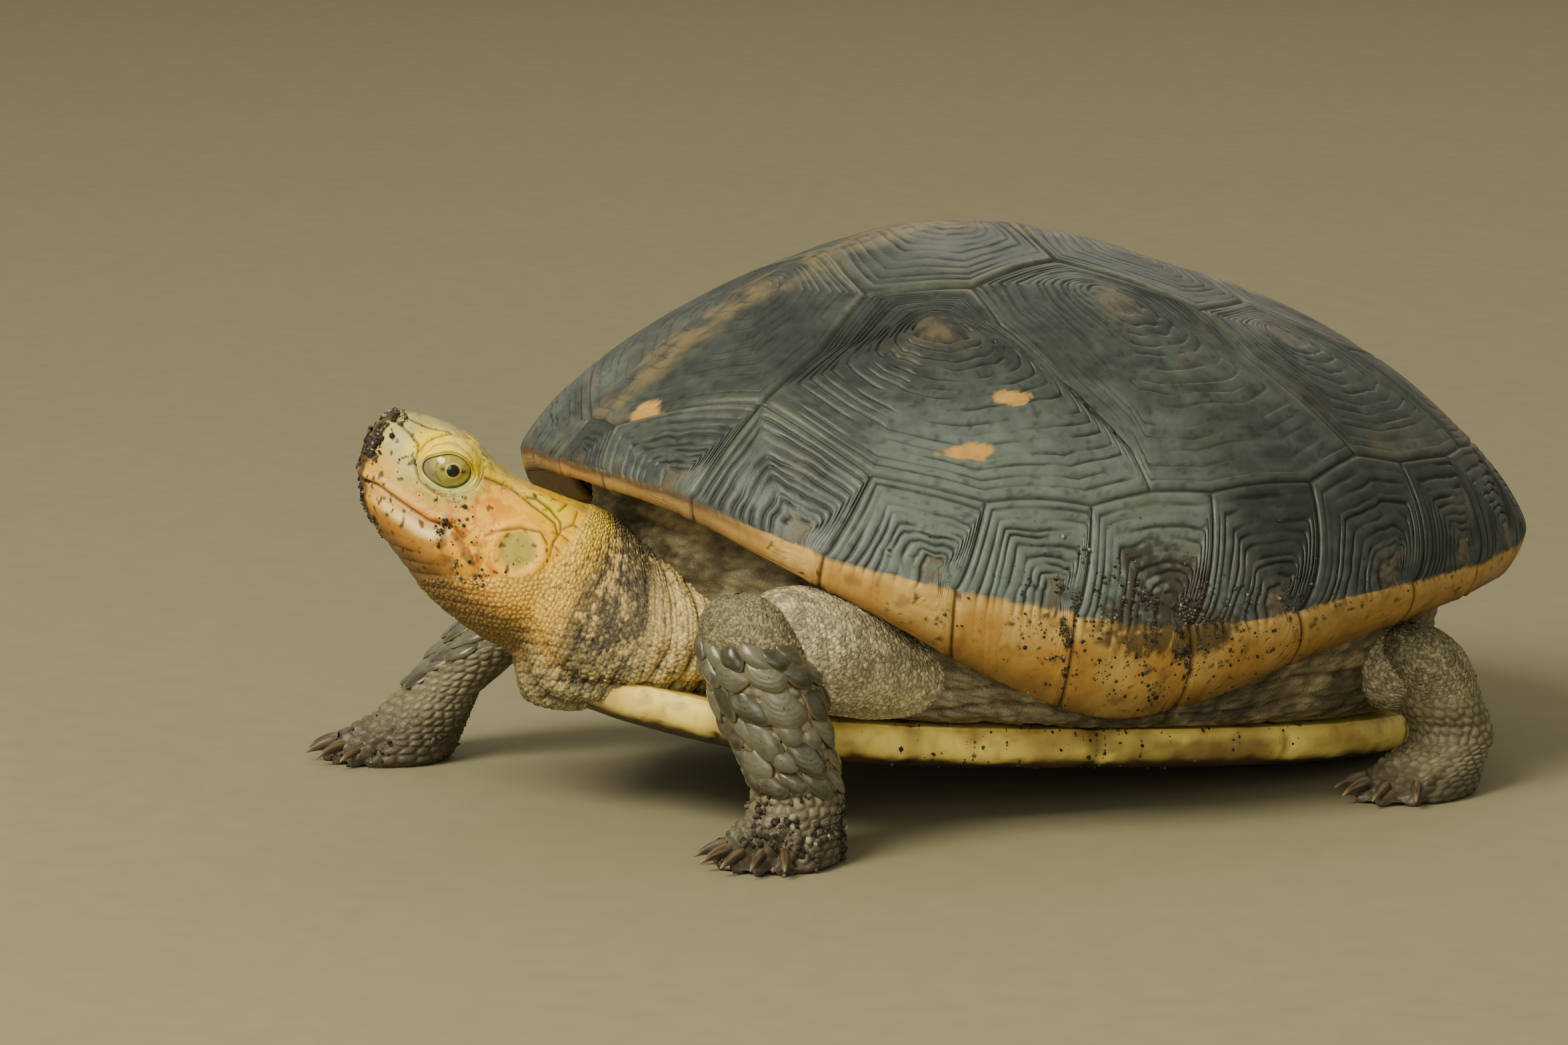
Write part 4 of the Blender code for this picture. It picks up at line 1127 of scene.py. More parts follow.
    # painted shade: the skin is darker along the jaw and cheek folds, as shade in the folds
    cheek_fold = 0.9 * bump(gap_to_line(ahead, up, CHEEK_FOLD), 1.3)
    fold = np.maximum(bump(gap_to_line(ahead, up, JAW_FOLD), 1.5), cheek_fold)
    tint = mix(tint, (0.17, 0.068, 0.020), 0.8 * fold * blend(0.32, 0.55, fine))
    thread = bump(np.abs(fractal(points, 1.9, 43, 2) - 0.5), 0.022) * blend(0.4, 0.6, noise(points, 5.0, 40))
    tint = mix(tint, (0.30, 0.10, 0.02), 0.6 * thread)
    brow = bump(gap_to_line(ahead, up, ((6.5, 4.2), (1.5, 4.6), (-2.5, 3.6))), 1.8)
    cracks = bump(np.abs(fractal(points, 1.3, 42, 2) - 0.5), 0.03)
    tint = mix(tint, (0.14, 0.075, 0.02), 0.75 * cracks * brow)
    specks = blend(0.68, 0.74, fractal(points, 0.8, 54, 2)) * blend(0.3, 0.6, cloud)
    return mix(tint, DIRT, 0.85 * specks), cloud


def from_front(ahead, up):
    """How far behind the front of the face each point is, at its own height."""
    levels = np.arange(-14.0, 5.0, 1.0)
    reach = [ahead[np.abs(up - level) < 0.7].max() for level in levels]
    return np.interp(up, levels, reach) - ahead


def soil_on_head(ahead, up, points):
    """Where damp soil sticks to the tip of the snout, the chin and the corner of the mouth."""
    fine = fractal(points, 1.6, 57)
    front = blend(2.6, 0.6, from_front(ahead, up) + 2.4 * (fine - 0.5)) * blend(4.2, 3.0, up)
    corner = 0.55 * bump(gap_to_line(ahead, up, ((-3.5, -7.6), (-8.6, -10.5))), 1.5)
    return np.clip(blend(0.4, 0.8, np.maximum(front, corner) * (0.4 + fine * 1.1)), 0.0, 1.0)


def neck_paint(grid, along, angle, ahead, chance, grain, cloud, folds, under):
    """Ochre behind the head, a dark mottled band, pale loose skin near the shell, grey folds below."""
    points = grid.points
    turn = 90.0 - np.abs(np.degrees(angle) - 90.0)
    tint = mix(NECK_OCHRE, NECK_YELLOW, blend(20.0, 55.0, turn))
    tint = mix(tint, ORANGE, 0.4 * blend(10.0, -25.0, turn) * blend(46.0, 36.0, along))
    # painted shade: the underside of the neck and throat is painted dark brown, as shade under them
    tint = mix(tint, (0.10, 0.072, 0.040), 0.85 * blend(-12.0, -38.0, turn) * blend(58.0, 44.0, along))
    loose = blend(44.0, 50.0, along)
    reach = along + 5.0 * (cloud - 0.5) - 3.0 * blend(20.0, 80.0, turn)
    tint = mix(tint, NECK_BROWN, blend(46.0, 56.0, reach))
    patches = fractal(points, 3.0, 48) + 0.5 * (chance - 0.5)
    band = blend(46.0, 54.0, reach) * blend(70.0, 63.0, reach)
    tint = layers(
        tint,
        (NECK_DARK, 0.92 * band * blend(0.25, 0.5, patches)),
        ((0.78, 0.62, 0.27), 0.7 * blend(62.0, 69.0, reach) * blend(0.3, 0.6, patches)),
        (NECK_TOP, 0.8 * blend(58.0, 80.0, turn + 20.0 * (cloud - 0.5)) * blend(44.0, 56.0, along)),
        (FOLD_GREY, 0.8 * blend(-30.0, -52.0, turn + 14.0 * (cloud - 0.5)) * loose),
        (NECK_PALE, 0.5 * under * blend(0.55, 0.9, folds) * loose),
        # painted shade: darker in the troughs of the loose folds
        (NECK_DARK, 0.75 * under * blend(0.4, 0.1, folds) * loose),
    )
    dots = blend(0.72, 0.9, chance) * blend(44.0, 52.0, along)
    tint = mix(tint, (0.55, 0.42, 0.16), 0.35 * dots * grain)
    specks = blend(0.66, 0.74, fractal(points, 1.1, 49, 2))
    tint = mix(tint, NECK_DARK, 0.6 * specks * blend(38.0, 46.0, along))
    # painted shade between the granules and lighter granule tops, with a random tone for each granule
    return tint * (0.66 + 0.54 * grain + 0.3 * (chance - 0.5))[..., None]


def make_head_and_neck():
    grid, along, angle = tube(head_stations(), 400, 0.2)
    points = grid.points.copy()
    ahead, up, left = head_frame(points)
    bare = ahead - through(SCALES_FROM, up) + 0.8 * (fractal(points, 1.5, 39) - 0.5)
    scaly = blend(0.3, -1.2, bare)
    behind = blend(-17.0, -30.0, ahead)
    grain, chance = granules(grid, along, angle, 0.92, 0.8, 3, 0.7)
    height = head_relief(ahead, up, left, scaly, points) + scaly * 0.26 * grain
    low_left, low_right, spread = np.radians((-55.0, 235.0, 34.0))
    under = np.maximum(bump(angle - low_left, spread), bump(angle - low_right, spread))
    sway = 2.2 * fractal(points, 9.0, 45)
    folds = np.abs(np.sin(angle * 7.0 + along * 0.05 + sway)) ** 0.7
    height += blend(38.0, 50.0, along) * under * 1.7 * (folds - 0.7)
    lean = np.abs(angle - math.pi / 2.0)
    rings = np.abs(np.sin(along * 0.62 + 2.6 * fractal(points, 12.0, 46) + 0.4 * lean)) ** 0.6
    height += blend(58.0, 68.0, along) * 1.0 * (rings - 0.7)
    wrinkle = np.abs(np.sin(along * 1.5 - 1.2 * lean + 3.0 * fractal(points, 6.0, 38)))
    height -= blend(-20.0, -26.0, ahead) * 0.22 * (1.0 - wrinkle) ** 3
    height += behind * 0.7 * (fractal(points, 6.0, 47) - 0.5)
    grid.push(height)
    tint, cloud = head_paint(ahead, up, left, points)
    skin = neck_paint(grid, along, angle, ahead, chance, grain, cloud, folds, under)
    # painted shade: the skin is darker in the wrinkles behind the head and in the creases between the rings
    # near the shell
    skin = mix(skin, skin * 0.45, blend(-20.0, -26.0, ahead) * (1.0 - wrinkle) ** 3)
    skin = mix(skin, skin * 0.35, blend(58.0, 68.0, along) * blend(0.45, 0.1, rings))
    tint = mix(tint, skin, scaly)
    soil = soil_on_head(ahead, up, points)
    grid.tint = mix(tint, DIRT, 0.9 * soil)
    grid.shine = 0.75 * (1.0 - scaly) + 0.5 * scaly * grain - 0.6 * soil
    grid.scaly = 0.6 * scaly * (1.0 - 0.7 * soil)
    grid.push(0.3 * soil * fractal(points, 0.9, 58))
    split = int(np.argmin(np.abs(ahead[:, 0] + 21.0)))  # the row where the head's piece ends
    head = grid.changed(lambda values: values[:split + 1])
    neck = grid.changed(lambda values: values[split:])
    add_piece("head_skin", [head], SKIN, ("head", "lower_jaw"))
    add_piece("neck_skin", [neck], SKIN, ("neck",))
    return grid, ahead, up, left


def head_side_at(ahead, up):
    """Half width of the bare head at a place on its side."""
    profile = np.array(HEAD_PROFILE)[::-1]
    crown, throat, wide = (np.interp(ahead, profile[:, 0], profile[:, k]) for k in (1, 2, 3))
    high = np.abs(up - (crown + throat) / 2.0) / ((crown - throat) / 2.0)
    return wide * (1.0 - np.minimum(high, 0.999) ** 2.6) ** (1.0 / 2.6)


def ball_at(p, q):
    """How far to the side the eyeball reaches, in the plane of the lids."""
    return EYE_AT[0] + np.sqrt(np.maximum(EYE_RADIUS**2 - p**2 - (q / EYE_FLAT) ** 2, 0.0))


def make_eyes():
    """Both eyeballs with iris and pupil painted on, and their lids."""
    turn = np.linspace(0.0, 2.0 * math.pi, 100, endpoint=False)[None]
    for name, side in SIDES:
        # the ball, its pole towards the side
        tilt = np.linspace(0.004, 2.0, 76)[:, None]
        bulge = 1.0 + 0.05 * bump(tilt, 0.5)
        p = EYE_RADIUS * np.sin(tilt) * np.sin(turn) * bulge
        q = EYE_RADIUS * np.sin(tilt) * np.cos(turn) * bulge * EYE_FLAT
        out = EYE_RADIUS * np.cos(tilt) * bulge
        ahead, up = lid_plane(p, q)
        middle = from_head(side * EYE_AT[0], -EYE_AT[1], EYE_AT[2])
        ball = Grid(from_head(side * (EYE_AT[0] + out), ahead, up), True, middle)
        far = np.hypot(p - IRIS_MIDDLE[0], q - IRIS_MIDDLE[1])
        ray = noise(np.stack([np.arctan2(q, p) * 6.0, far * 1.5], -1), 1.0, 60)
        cloud = fractal(np.stack([p, q], -1), 0.8, 61)
        tint = mix((0.46, 0.42, 0.10), (0.27, 0.24, 0.06), blend(0.35, 0.7, cloud))
        tint = layers(
            tint,
            ((0.22, 0.15, 0.11), 0.8 * blend(-1.4, -3.2, p + 0.4 * q)),
            ((0.50, 0.50, 0.22), 0.6 * blend(-1.2, -2.4, q)),
            ((0.10, 0.09, 0.025), 0.6 * bump(far - IRIS_RADIUS, 0.18)),
        )
        iris = blend(IRIS_RADIUS, IRIS_RADIUS - 0.25, far)
        tint = mix(tint, mix((0.52, 0.44, 0.07), (0.30, 0.25, 0.045), ray), 0.85 * iris)
        bar = bump(q - IRIS_MIDDLE[1], 0.34) * blend(2.5, 1.6, far) * blend(0.3, 0.5, cloud + 0.1)
        tint = mix(tint, (0.030, 0.025, 0.008), 0.9 * bar)
        tint = mix(tint, (0.80, 0.60, 0.13), 0.85 * bump(far - 1.12, 0.11))
        pupil = blend(PUPIL_RADIUS + 0.06, PUPIL_RADIUS - 0.06, far)
        ball.tint = mix(tint, (0.003, 0.003, 0.003), pupil)
        ball.shine = np.ones(far.shape)
        add_piece(f"eyeball_{name}", [ball], EYE_WET, (f"eye_{name}",))
        make_lids(name, side)


def lid_plane(p, q):
    """Forward of the eyes and above them, of places across the eye towards the rear and up it."""
    c, s = math.cos(EYE_TILT), math.sin(EYE_TILT)
    return -EYE_AT[1] - c * p + s * q, EYE_AT[2] + s * p + c * q


def make_lids(name, side):
    """A ring of skin round the eye, from under the lids' rims out on to the head."""
    turn = np.linspace(0.0, 2.0 * math.pi, 200, endpoint=False)[None]
    share = np.linspace(-0.12, 1.0, 60)[:, None]
    out = np.clip(share, 0.0, 1.0)
    # the opening comes to a point in front
    point = 1.0 - 0.22 * np.abs(np.sin(turn)) * blend(0.2, -0.9, np.cos(turn))
    inner_p = OPENING_MIDDLE[0] + OPENING[0] * np.cos(turn)
    inner_q = OPENING_MIDDLE[1] + OPENING[1] * point * np.sin(turn)
    outer_p = LID_MIDDLE[0] + (LID_OUTER[0] + 0.25) * np.cos(turn)
    taller = np.where(np.sin(turn) > 0.0, 1.08, 1.0)
    outer_q = LID_MIDDLE[1] + (LID_OUTER[1] + 0.25) * np.sin(turn) * taller
    p, q = inner_p + (outer_p - inner_p) * out, inner_q + (outer_q - inner_q) * out
    ahead, up = lid_plane(p, q)
    head = head_side_at(ahead, up)
    rim = np.maximum(ball_at(inner_p, inner_q) + 0.4, head - 0.9)
    fall = blend(0.0, 1.0, out)
    level = rim * (1.0 - fall) + (head - 0.22) * fall + 0.12 * np.sin(math.pi * out)
    covered = EYE_RADIUS**2 - p**2 - (q / EYE_FLAT) ** 2 > 0.0
    level = np.where(covered, np.maximum(level, ball_at(p, q) + 0.34), level)
    bend = fractal(from_head(side * head, ahead, up), 2.2, 66)
    crease = np.sin(out * 15.0 + 1.2 * np.sin(turn * 2.0) + 9.0 * bend)
    level = level + 0.09 * crease * blend(0.1, 0.3, out) * blend(1.0, 0.8, out)
    level = level - 9.0 * np.maximum(0.0, -share)
    points = from_head(side * level, ahead, up)
    lids = Grid(points, True, from_head(side * 2.0, 2.5, 1.0))
    fine, cloud = fractal(points, 0.9, 63), fractal(points, 2.4, 64)
    upper = blend(-0.3, 0.3, np.sin(turn) + 0.25 * np.cos(turn))
    tint = mix((0.50, 0.50, 0.12), (1.0, 0.74, 0.025), upper)
    tint = layers(
        tint,
        ((0.66, 0.40, 0.07), 0.5 * blend(0.7, 0.95, out) * (1.0 - upper)),
        ((0.62, 0.64, 0.30), 0.7 * (1.0 - upper) * bump(out - 0.18, 0.16)),
        ((1.0, 0.76, 0.01), 0.6 * upper * bump(out - 0.4, 0.25)),
        ((0.34, 0.19, 0.03), 0.6 * bump(crease + 1.0, 0.3) * blend(0.1, 0.3, out) * upper),
        # painted shade: a dark line along the upper lid by the eye, as the lid's shadow, and the rim turned
        # in under the lids near black, as shade in the gap round the eyeball
        ((0.07, 0.045, 0.02), 0.85 * bump(out - 0.13, 0.06) * upper),
        ((0.04, 0.032, 0.018), 0.85 * blend(0.08, -0.02, share)),
    )
    lids.tint = mix(tint, DIRT, 0.6 * blend(0.68, 0.76, fine) * blend(0.4, 0.6, cloud))
    lids.shine = np.full(head.shape, 0.75)
    lids.push(0.1 * (fine - 0.5))
    add_piece(f"eyelids_{name}", [lids], SKIN)


HEAD_SKIN, HEAD_AHEAD, HEAD_UP, HEAD_LEFT = make_head_and_neck()
make_eyes()


# ---------------------------------------------------------------- limbs, tail and body skin

LEFT_UPPER_ARM = (
    (24.0, -11.4, 22.0, 5.0, 4.6, 0.0, 35.0), (31.0, -21.4, 22.5, 8.0, 6.0, 0.0, 32.0),
    (37.5, -33.4, 25.5, 9.2, 7.6, 0.0, 25.0), (41.5, -44.4, 29.5, 9.2, 9.4, 0.0, 15.0),
    (42.6, -54.2, 31.2, 8.0, 8.6, 0.0, 8.0), (42.5, -60.3, 31.0, 4.0, 4.0, 0.0, 5.0),
)
RIGHT_UPPER_ARM = (
    (-24.0, -11.4, 22.0, 5.0, 4.6, 0.0, -35.0), (-31.0, -21.4, 22.5, 8.0, 6.0, 0.0, -32.0),
    (-37.5, -31.4, 24.0, 9.0, 7.0, 0.0, -25.0), (-41.5, -40.4, 25.0, 8.8, 8.0, 0.0, -15.0),
    (-43.5, -48.4, 25.0, 7.0, 7.2, 0.0, -10.0), (-44.0, -53.4, 25.0, 3.5, 3.5, 0.0, -8.0),
)
LEFT_THIGH = (
    (15.0, 58.0, 18.5, 5.0, 4.5, 0.0, 90.0), (24.0, 58.0, 19.0, 8.0, 6.8, 0.0, 90.0),
    (35.0, 57.0, 19.0, 8.5, 7.2, 0.0, 90.0), (44.0, 56.5, 18.5, 7.6, 6.8, 0.0, 90.0),
    (50.0, 56.5, 18.5, 4.0, 4.0, 0.0, 90.0),
)
RIGHT_THIGH = tuple((-row[0], *row[1:6], -row[6]) for row in LEFT_THIGH)
TAIL = (
    (0.0, 60.0, 20.5, 6.0, 5.0, 0.0, 0.0), (1.0, 70.0, 19.0, 5.4, 4.8, -10.0, -14.0),
    (4.5, 78.0, 16.5, 4.0, 3.6, -20.0, -34.0), (10.0, 83.5, 13.5, 2.6, 2.5, -22.0, -54.0),
    (15.5, 86.0, 11.0, 1.3, 1.2, -20.0, -68.0), (17.5, 86.6, 10.3, 0.3, 0.3, -18.0, -73.0),
)
# elbow or knee, wrist or ankle, sole, and the heading of the toes in degrees towards the left; the places
# were worked out from measurements of the photo
LEFT_FORELEG = ((42.0, -60.6, 39.8), (47.6, -53.6, 9.0), (48.6, -55.2, 0.0), 22.0)
RIGHT_FORELEG = ((-43.4, -45.0, 30.5), (-49.0, -66.0, 10.5), (-50.5, -71.0, 0.0), -18.0)
LEFT_HINDLEG = ((46.0, 56.0, 26.0), (48.5, 62.0, 8.5), (49.4, 58.4, 0.0), 18.0)
RIGHT_HINDLEG = (*((-x, y, z) for x, y, z in LEFT_HINDLEG[:3]), -LEFT_HINDLEG[3])
# share of the way down a forearm or shank, and half widths to the side and to the front
FORELEG_GIRTH = ((0.0, 0.6, 0.6), (0.04, 4.4, 4.0), (0.14, 7.2, 6.6), (0.33, 8.5, 7.8), (0.6, 8.0, 7.3),
                 (0.85, 6.9, 6.5), (1.0, 6.7, 6.4))
HINDLEG_GIRTH = ((0.0, 0.6, 0.6), (0.08, 4.2, 4.2), (0.3, 6.6, 6.8), (0.65, 6.6, 6.8), (1.0, 6.0, 6.4))
# share of the way from wrist or ankle to sole, the two half widths, and how far ahead
FOREFOOT = ((0.35, 7.3, 7.4, 1.0), (0.7, 8.3, 9.3, 2.6), (0.9, 8.5, 9.9, 3.2), (1.0, 7.9, 9.4, 3.2))
HINDFOOT = ((0.35, 6.8, 8.2, 2.0), (0.7, 7.5, 10.6, 4.4), (0.9, 7.7, 11.4, 5.0), (1.0, 7.2, 10.8, 5.0))
CLAW_LENGTH, CLAW_RADIUS, CLAW_HEIGHT, CLAW_FAN, CLAW_SPLAY = 4.9, 1.0, 2.9, 50.0, 0.8
# the forearm's plates: how far down the forearm, then degrees round it, width and length of each. Many of
# the places were measured, by a scratch script that cast points of the photo on to the leg.
FOREARM_PLATES = (
    (0.26, ((128, 2.6, 2.6), (102, 2.6, 2.6), (76, 2.8, 2.6), (54, 3.0, 2.6), (34, 3.4, 1.9),
            (10, 3.0, 2.2))),
    (0.37, ((142, 3.2, 3.4), (114, 3.4, 3.6), (84, 4.3, 4.0), (42, 5.4, 3.4), (8, 4.6, 3.6),
            (-22, 3.2, 3.0))),
    (0.50, ((132, 3.2, 4.6), (104, 2.9, 4.8), (75, 4.5, 4.4), (38, 5.8, 5.5), (-6, 4.7, 4.2),
            (-38, 3.2, 3.4))),
    (0.64, ((138, 3.2, 3.6), (112, 3.4, 3.8), (90, 2.8, 3.4), (67, 4.2, 4.6), (38, 3.2, 2.8),
            (12, 2.6, 2.6), (-15, 4.6, 5.0))),
    (0.77, ((116, 3.4, 3.8), (87, 4.0, 3.9), (54, 3.6, 3.0), (20, 5.3, 4.4), (-30, 3.8, 4.2))),
    (0.88, ((108, 3.6, 3.2), (80, 4.8, 3.5), (50, 3.4, 1.9), (14, 4.4, 3.4), (-26, 3.8, 3.4))),
)
PLATE_LIFT, PLATE_SEED = 0.62, 90
MUD = (0.055, 0.045, 0.030)
LIMB_BROWN, LIMB_OLIVE, LIMB_PALE = (0.22, 0.195, 0.105), (0.40, 0.365, 0.20), (0.66, 0.58, 0.27)
PLATE_DARK, PLATE_OLIVE, PLATE_PALE = (0.036, 0.035, 0.021), (0.126, 0.125, 0.086), (0.21, 0.215, 0.165)


LegKind = collections.namedtuple(
    "LegKind", "name nodes girth foot toes row_step scale_size around pale mud_top")
FORE = LegKind("fore", ("upper_arm", "forearm", "forefoot"), FORELEG_GIRTH, FOREFOOT, toes=5, row_step=0.29,
               scale_size=1.9, around=165, pale=1.0, mud_top=13.0)
HIND = LegKind("hind", ("thigh", "shank", "hindfoot"), HINDLEG_GIRTH, HINDFOOT, toes=4, row_step=0.33,
               scale_size=1.7, around=140, pale=0.3, mud_top=6.5)
LEGS = (
    ("left", FORE, LEFT_FORELEG, LEFT_UPPER_ARM), ("left", HIND, LEFT_HINDLEG, LEFT_THIGH),
    ("right", FORE, RIGHT_FORELEG, RIGHT_UPPER_ARM), ("right", HIND, RIGHT_HINDLEG, RIGHT_THIGH),
)


def compass(heading):
    """Unit vectors ahead and to the left, for a heading in radians towards the left."""
    s, c = math.sin(heading), math.cos(heading)
    return np.array((s, -c, 0.0)), np.array((c, s, 0.0))


def leg_stations(leg, kind):
    """Level cross-sections down a forearm or shank, over the foot and in under its flat sole."""
    top, joint, sole = (np.array(place) for place in leg[:3])
    ahead, _ = compass(math.radians(leg[3]))
    rows = [(*(top + (joint - top) * share), side, front, 90.0, leg[3]) for share, side, front in kind.girth]
    for share, side, front, step in kind.foot:
        rows.append((*(joint + (sole - joint) * share + ahead * step), side, front, 90.0, leg[3]))
    x, y, _, side, front = rows[-1][:5]
    return rows + [(x, y, 0.0, side * part, front * part, 90.0, leg[3]) for part in (0.93, 0.5, 0.03)]


def limb_paint(grid, grain, chance, cloud, pale):
    """Olive-brown scales, painted darker between them as shade, and paler where told."""
    tint = mix(LIMB_BROWN, LIMB_OLIVE, blend(0.35, 0.7, 0.6 * cloud + 0.4 * chance))
    tint = mix(tint, LIMB_PALE, pale)
    # painted shade: darker between the scales, lighter on their tops
    tint = tint * (0.6 + 0.5 * grain)[..., None]
    grid.tint = tint
    grid.shine = 0.2 + 0.6 * grain


def make_leg(side, kind, leg, arm):
    """Upper arm or thigh, and the forearm or shank with its foot, as skin."""
    upper, along, angle = tube(arm, kind.around, kind.row_step)
    grain, chance = granules(upper, along, angle, 1.05, 0.95, 5)
    cloud = fractal(upper.points, 6.0, 71)
    folds = np.abs(np.sin(along * 0.75 + 2.2 * fractal(upper.points, 9.0, 72)))
    near_body = blend(30.0, 14.0, along)
    lumps = 0.9 * (fractal(upper.points, 7.0, 73) - 0.5)
    upper.push(0.2 * grain + lumps - 0.5 * near_body * (1.0 - folds) ** 3)
    spots = blend(0.6, 0.85, chance) * blend(0.35, 0.6, fractal(upper.points, 4.0, 74))
    low = blend(0.2, -0.8, np.sin(angle))
    pale = np.clip(0.45 * spots + kind.pale * (0.4 * near_body * folds + 0.3 * low), 0.0, 0.8)
    limb_paint(upper, grain, chance, cloud, pale)
    # painted light: the upper arm or thigh is painted lighter and a little bluer, most on the forelegs and
    # near the body, as light bounced up from the ground into the shell's shade
    painted_ground_bounce = 1.0 + 0.45 * kind.pale + 0.3 * kind.pale * blend(44.0, 26.0, along)
    upper.tint = upper.tint * painted_ground_bounce[..., None] * (1.0, 1.0, 1.2)
    # painted shade: darker where the leg goes in under the shell
    upper.tint = mix(upper.tint, (0.17, 0.145, 0.085), 0.7 * (1.3 - kind.pale) * near_body)
    upper.scaly = np.full(along.shape, 0.7)

    stations = leg_stations(leg, kind)
    lower, along, angle = tube(stations, kind.around, kind.row_step)
    height_left = np.maximum(lower.points[..., 2], 0.0)
    top = leg[0][2]
    fine, fine_chance = granules(lower, along, angle, 1.0, 0.8, 6)
    coarse, coarse_chance = granules(lower, along, angle, kind.scale_size, kind.scale_size * 0.95, 7)
    down = blend(top - 9.0, top - 14.0, height_left)
    front = blend(*np.radians((-58.0, -30.0)), angle) * blend(*np.radians((215.0, 185.0)), angle)
    big = down * front
    grain = fine * (1.0 - big) + coarse * big
    chance = np.where(big > 0.5, coarse_chance, fine_chance)
    cloud = fractal(lower.points, 6.0, 75)
    turn = np.degrees(angle) - 90.0
    # a lobe of flesh at each toe; only an odd number of toes has one straight ahead
    fan = turn * math.pi / 180.0 * (kind.toes - 1) * 180.0 / CLAW_FAN
    lobes = np.cos(fan if kind.toes % 2 else fan + math.pi)
    reach = blend(CLAW_FAN + 22.0, CLAW_FAN + 4.0, np.abs(turn))
    toe = reach * blend(7.5, 3.5, height_left)
    height = (0.24 + 0.22 * big) * grain * blend(-0.05, 1.2, height_left)
    height = height + toe * (0.75 * lobes - 0.35) + 0.5 * (fractal(lower.points, 6.0, 76) - 0.5)
    creases = np.abs(np.sin(height_left * 0.8 + 1.5 * fractal(lower.points, 6.0, 77)))
    wrist = blend(leg[1][2] + 7.0, leg[1][2] + 1.0, height_left) * blend(3.0, 7.0, height_left)
    height -= 0.35 * wrist * (1.0 - creases) ** 3
    lower.push(height)
    lower.points[..., 2] = np.maximum(lower.points[..., 2], 0.02)
    elbow = blend(top - 13.0, top - 5.0, height_left)
    limb_paint(lower, grain, chance, cloud, 0.2 * blend(0.4, 0.8, chance) * (1.0 - big) * elbow)
    # the big scales down the front are darker olive: partly their own colour, partly painted shade
    dark = 0.85 * big * (1.0 - 0.35 * grain)
    lower.tint = mix(lower.tint * (0.70, 0.71, 0.76), (0.125, 0.108, 0.068), dark)
    lower.scaly = 0.7 * (1.0 - big)
    lower.tint = mix(lower.tint, MUD, 0.75 * blend(kind.mud_top, 2.0, height_left + 4.0 * (cloud - 0.5)))
    nodes = tuple(f"{node}_{side}" for node in kind.nodes)
    add_piece(f"{kind.name}leg_skin_{side}", [upper, lower], LEG_SKIN, nodes)
    return lower, stations


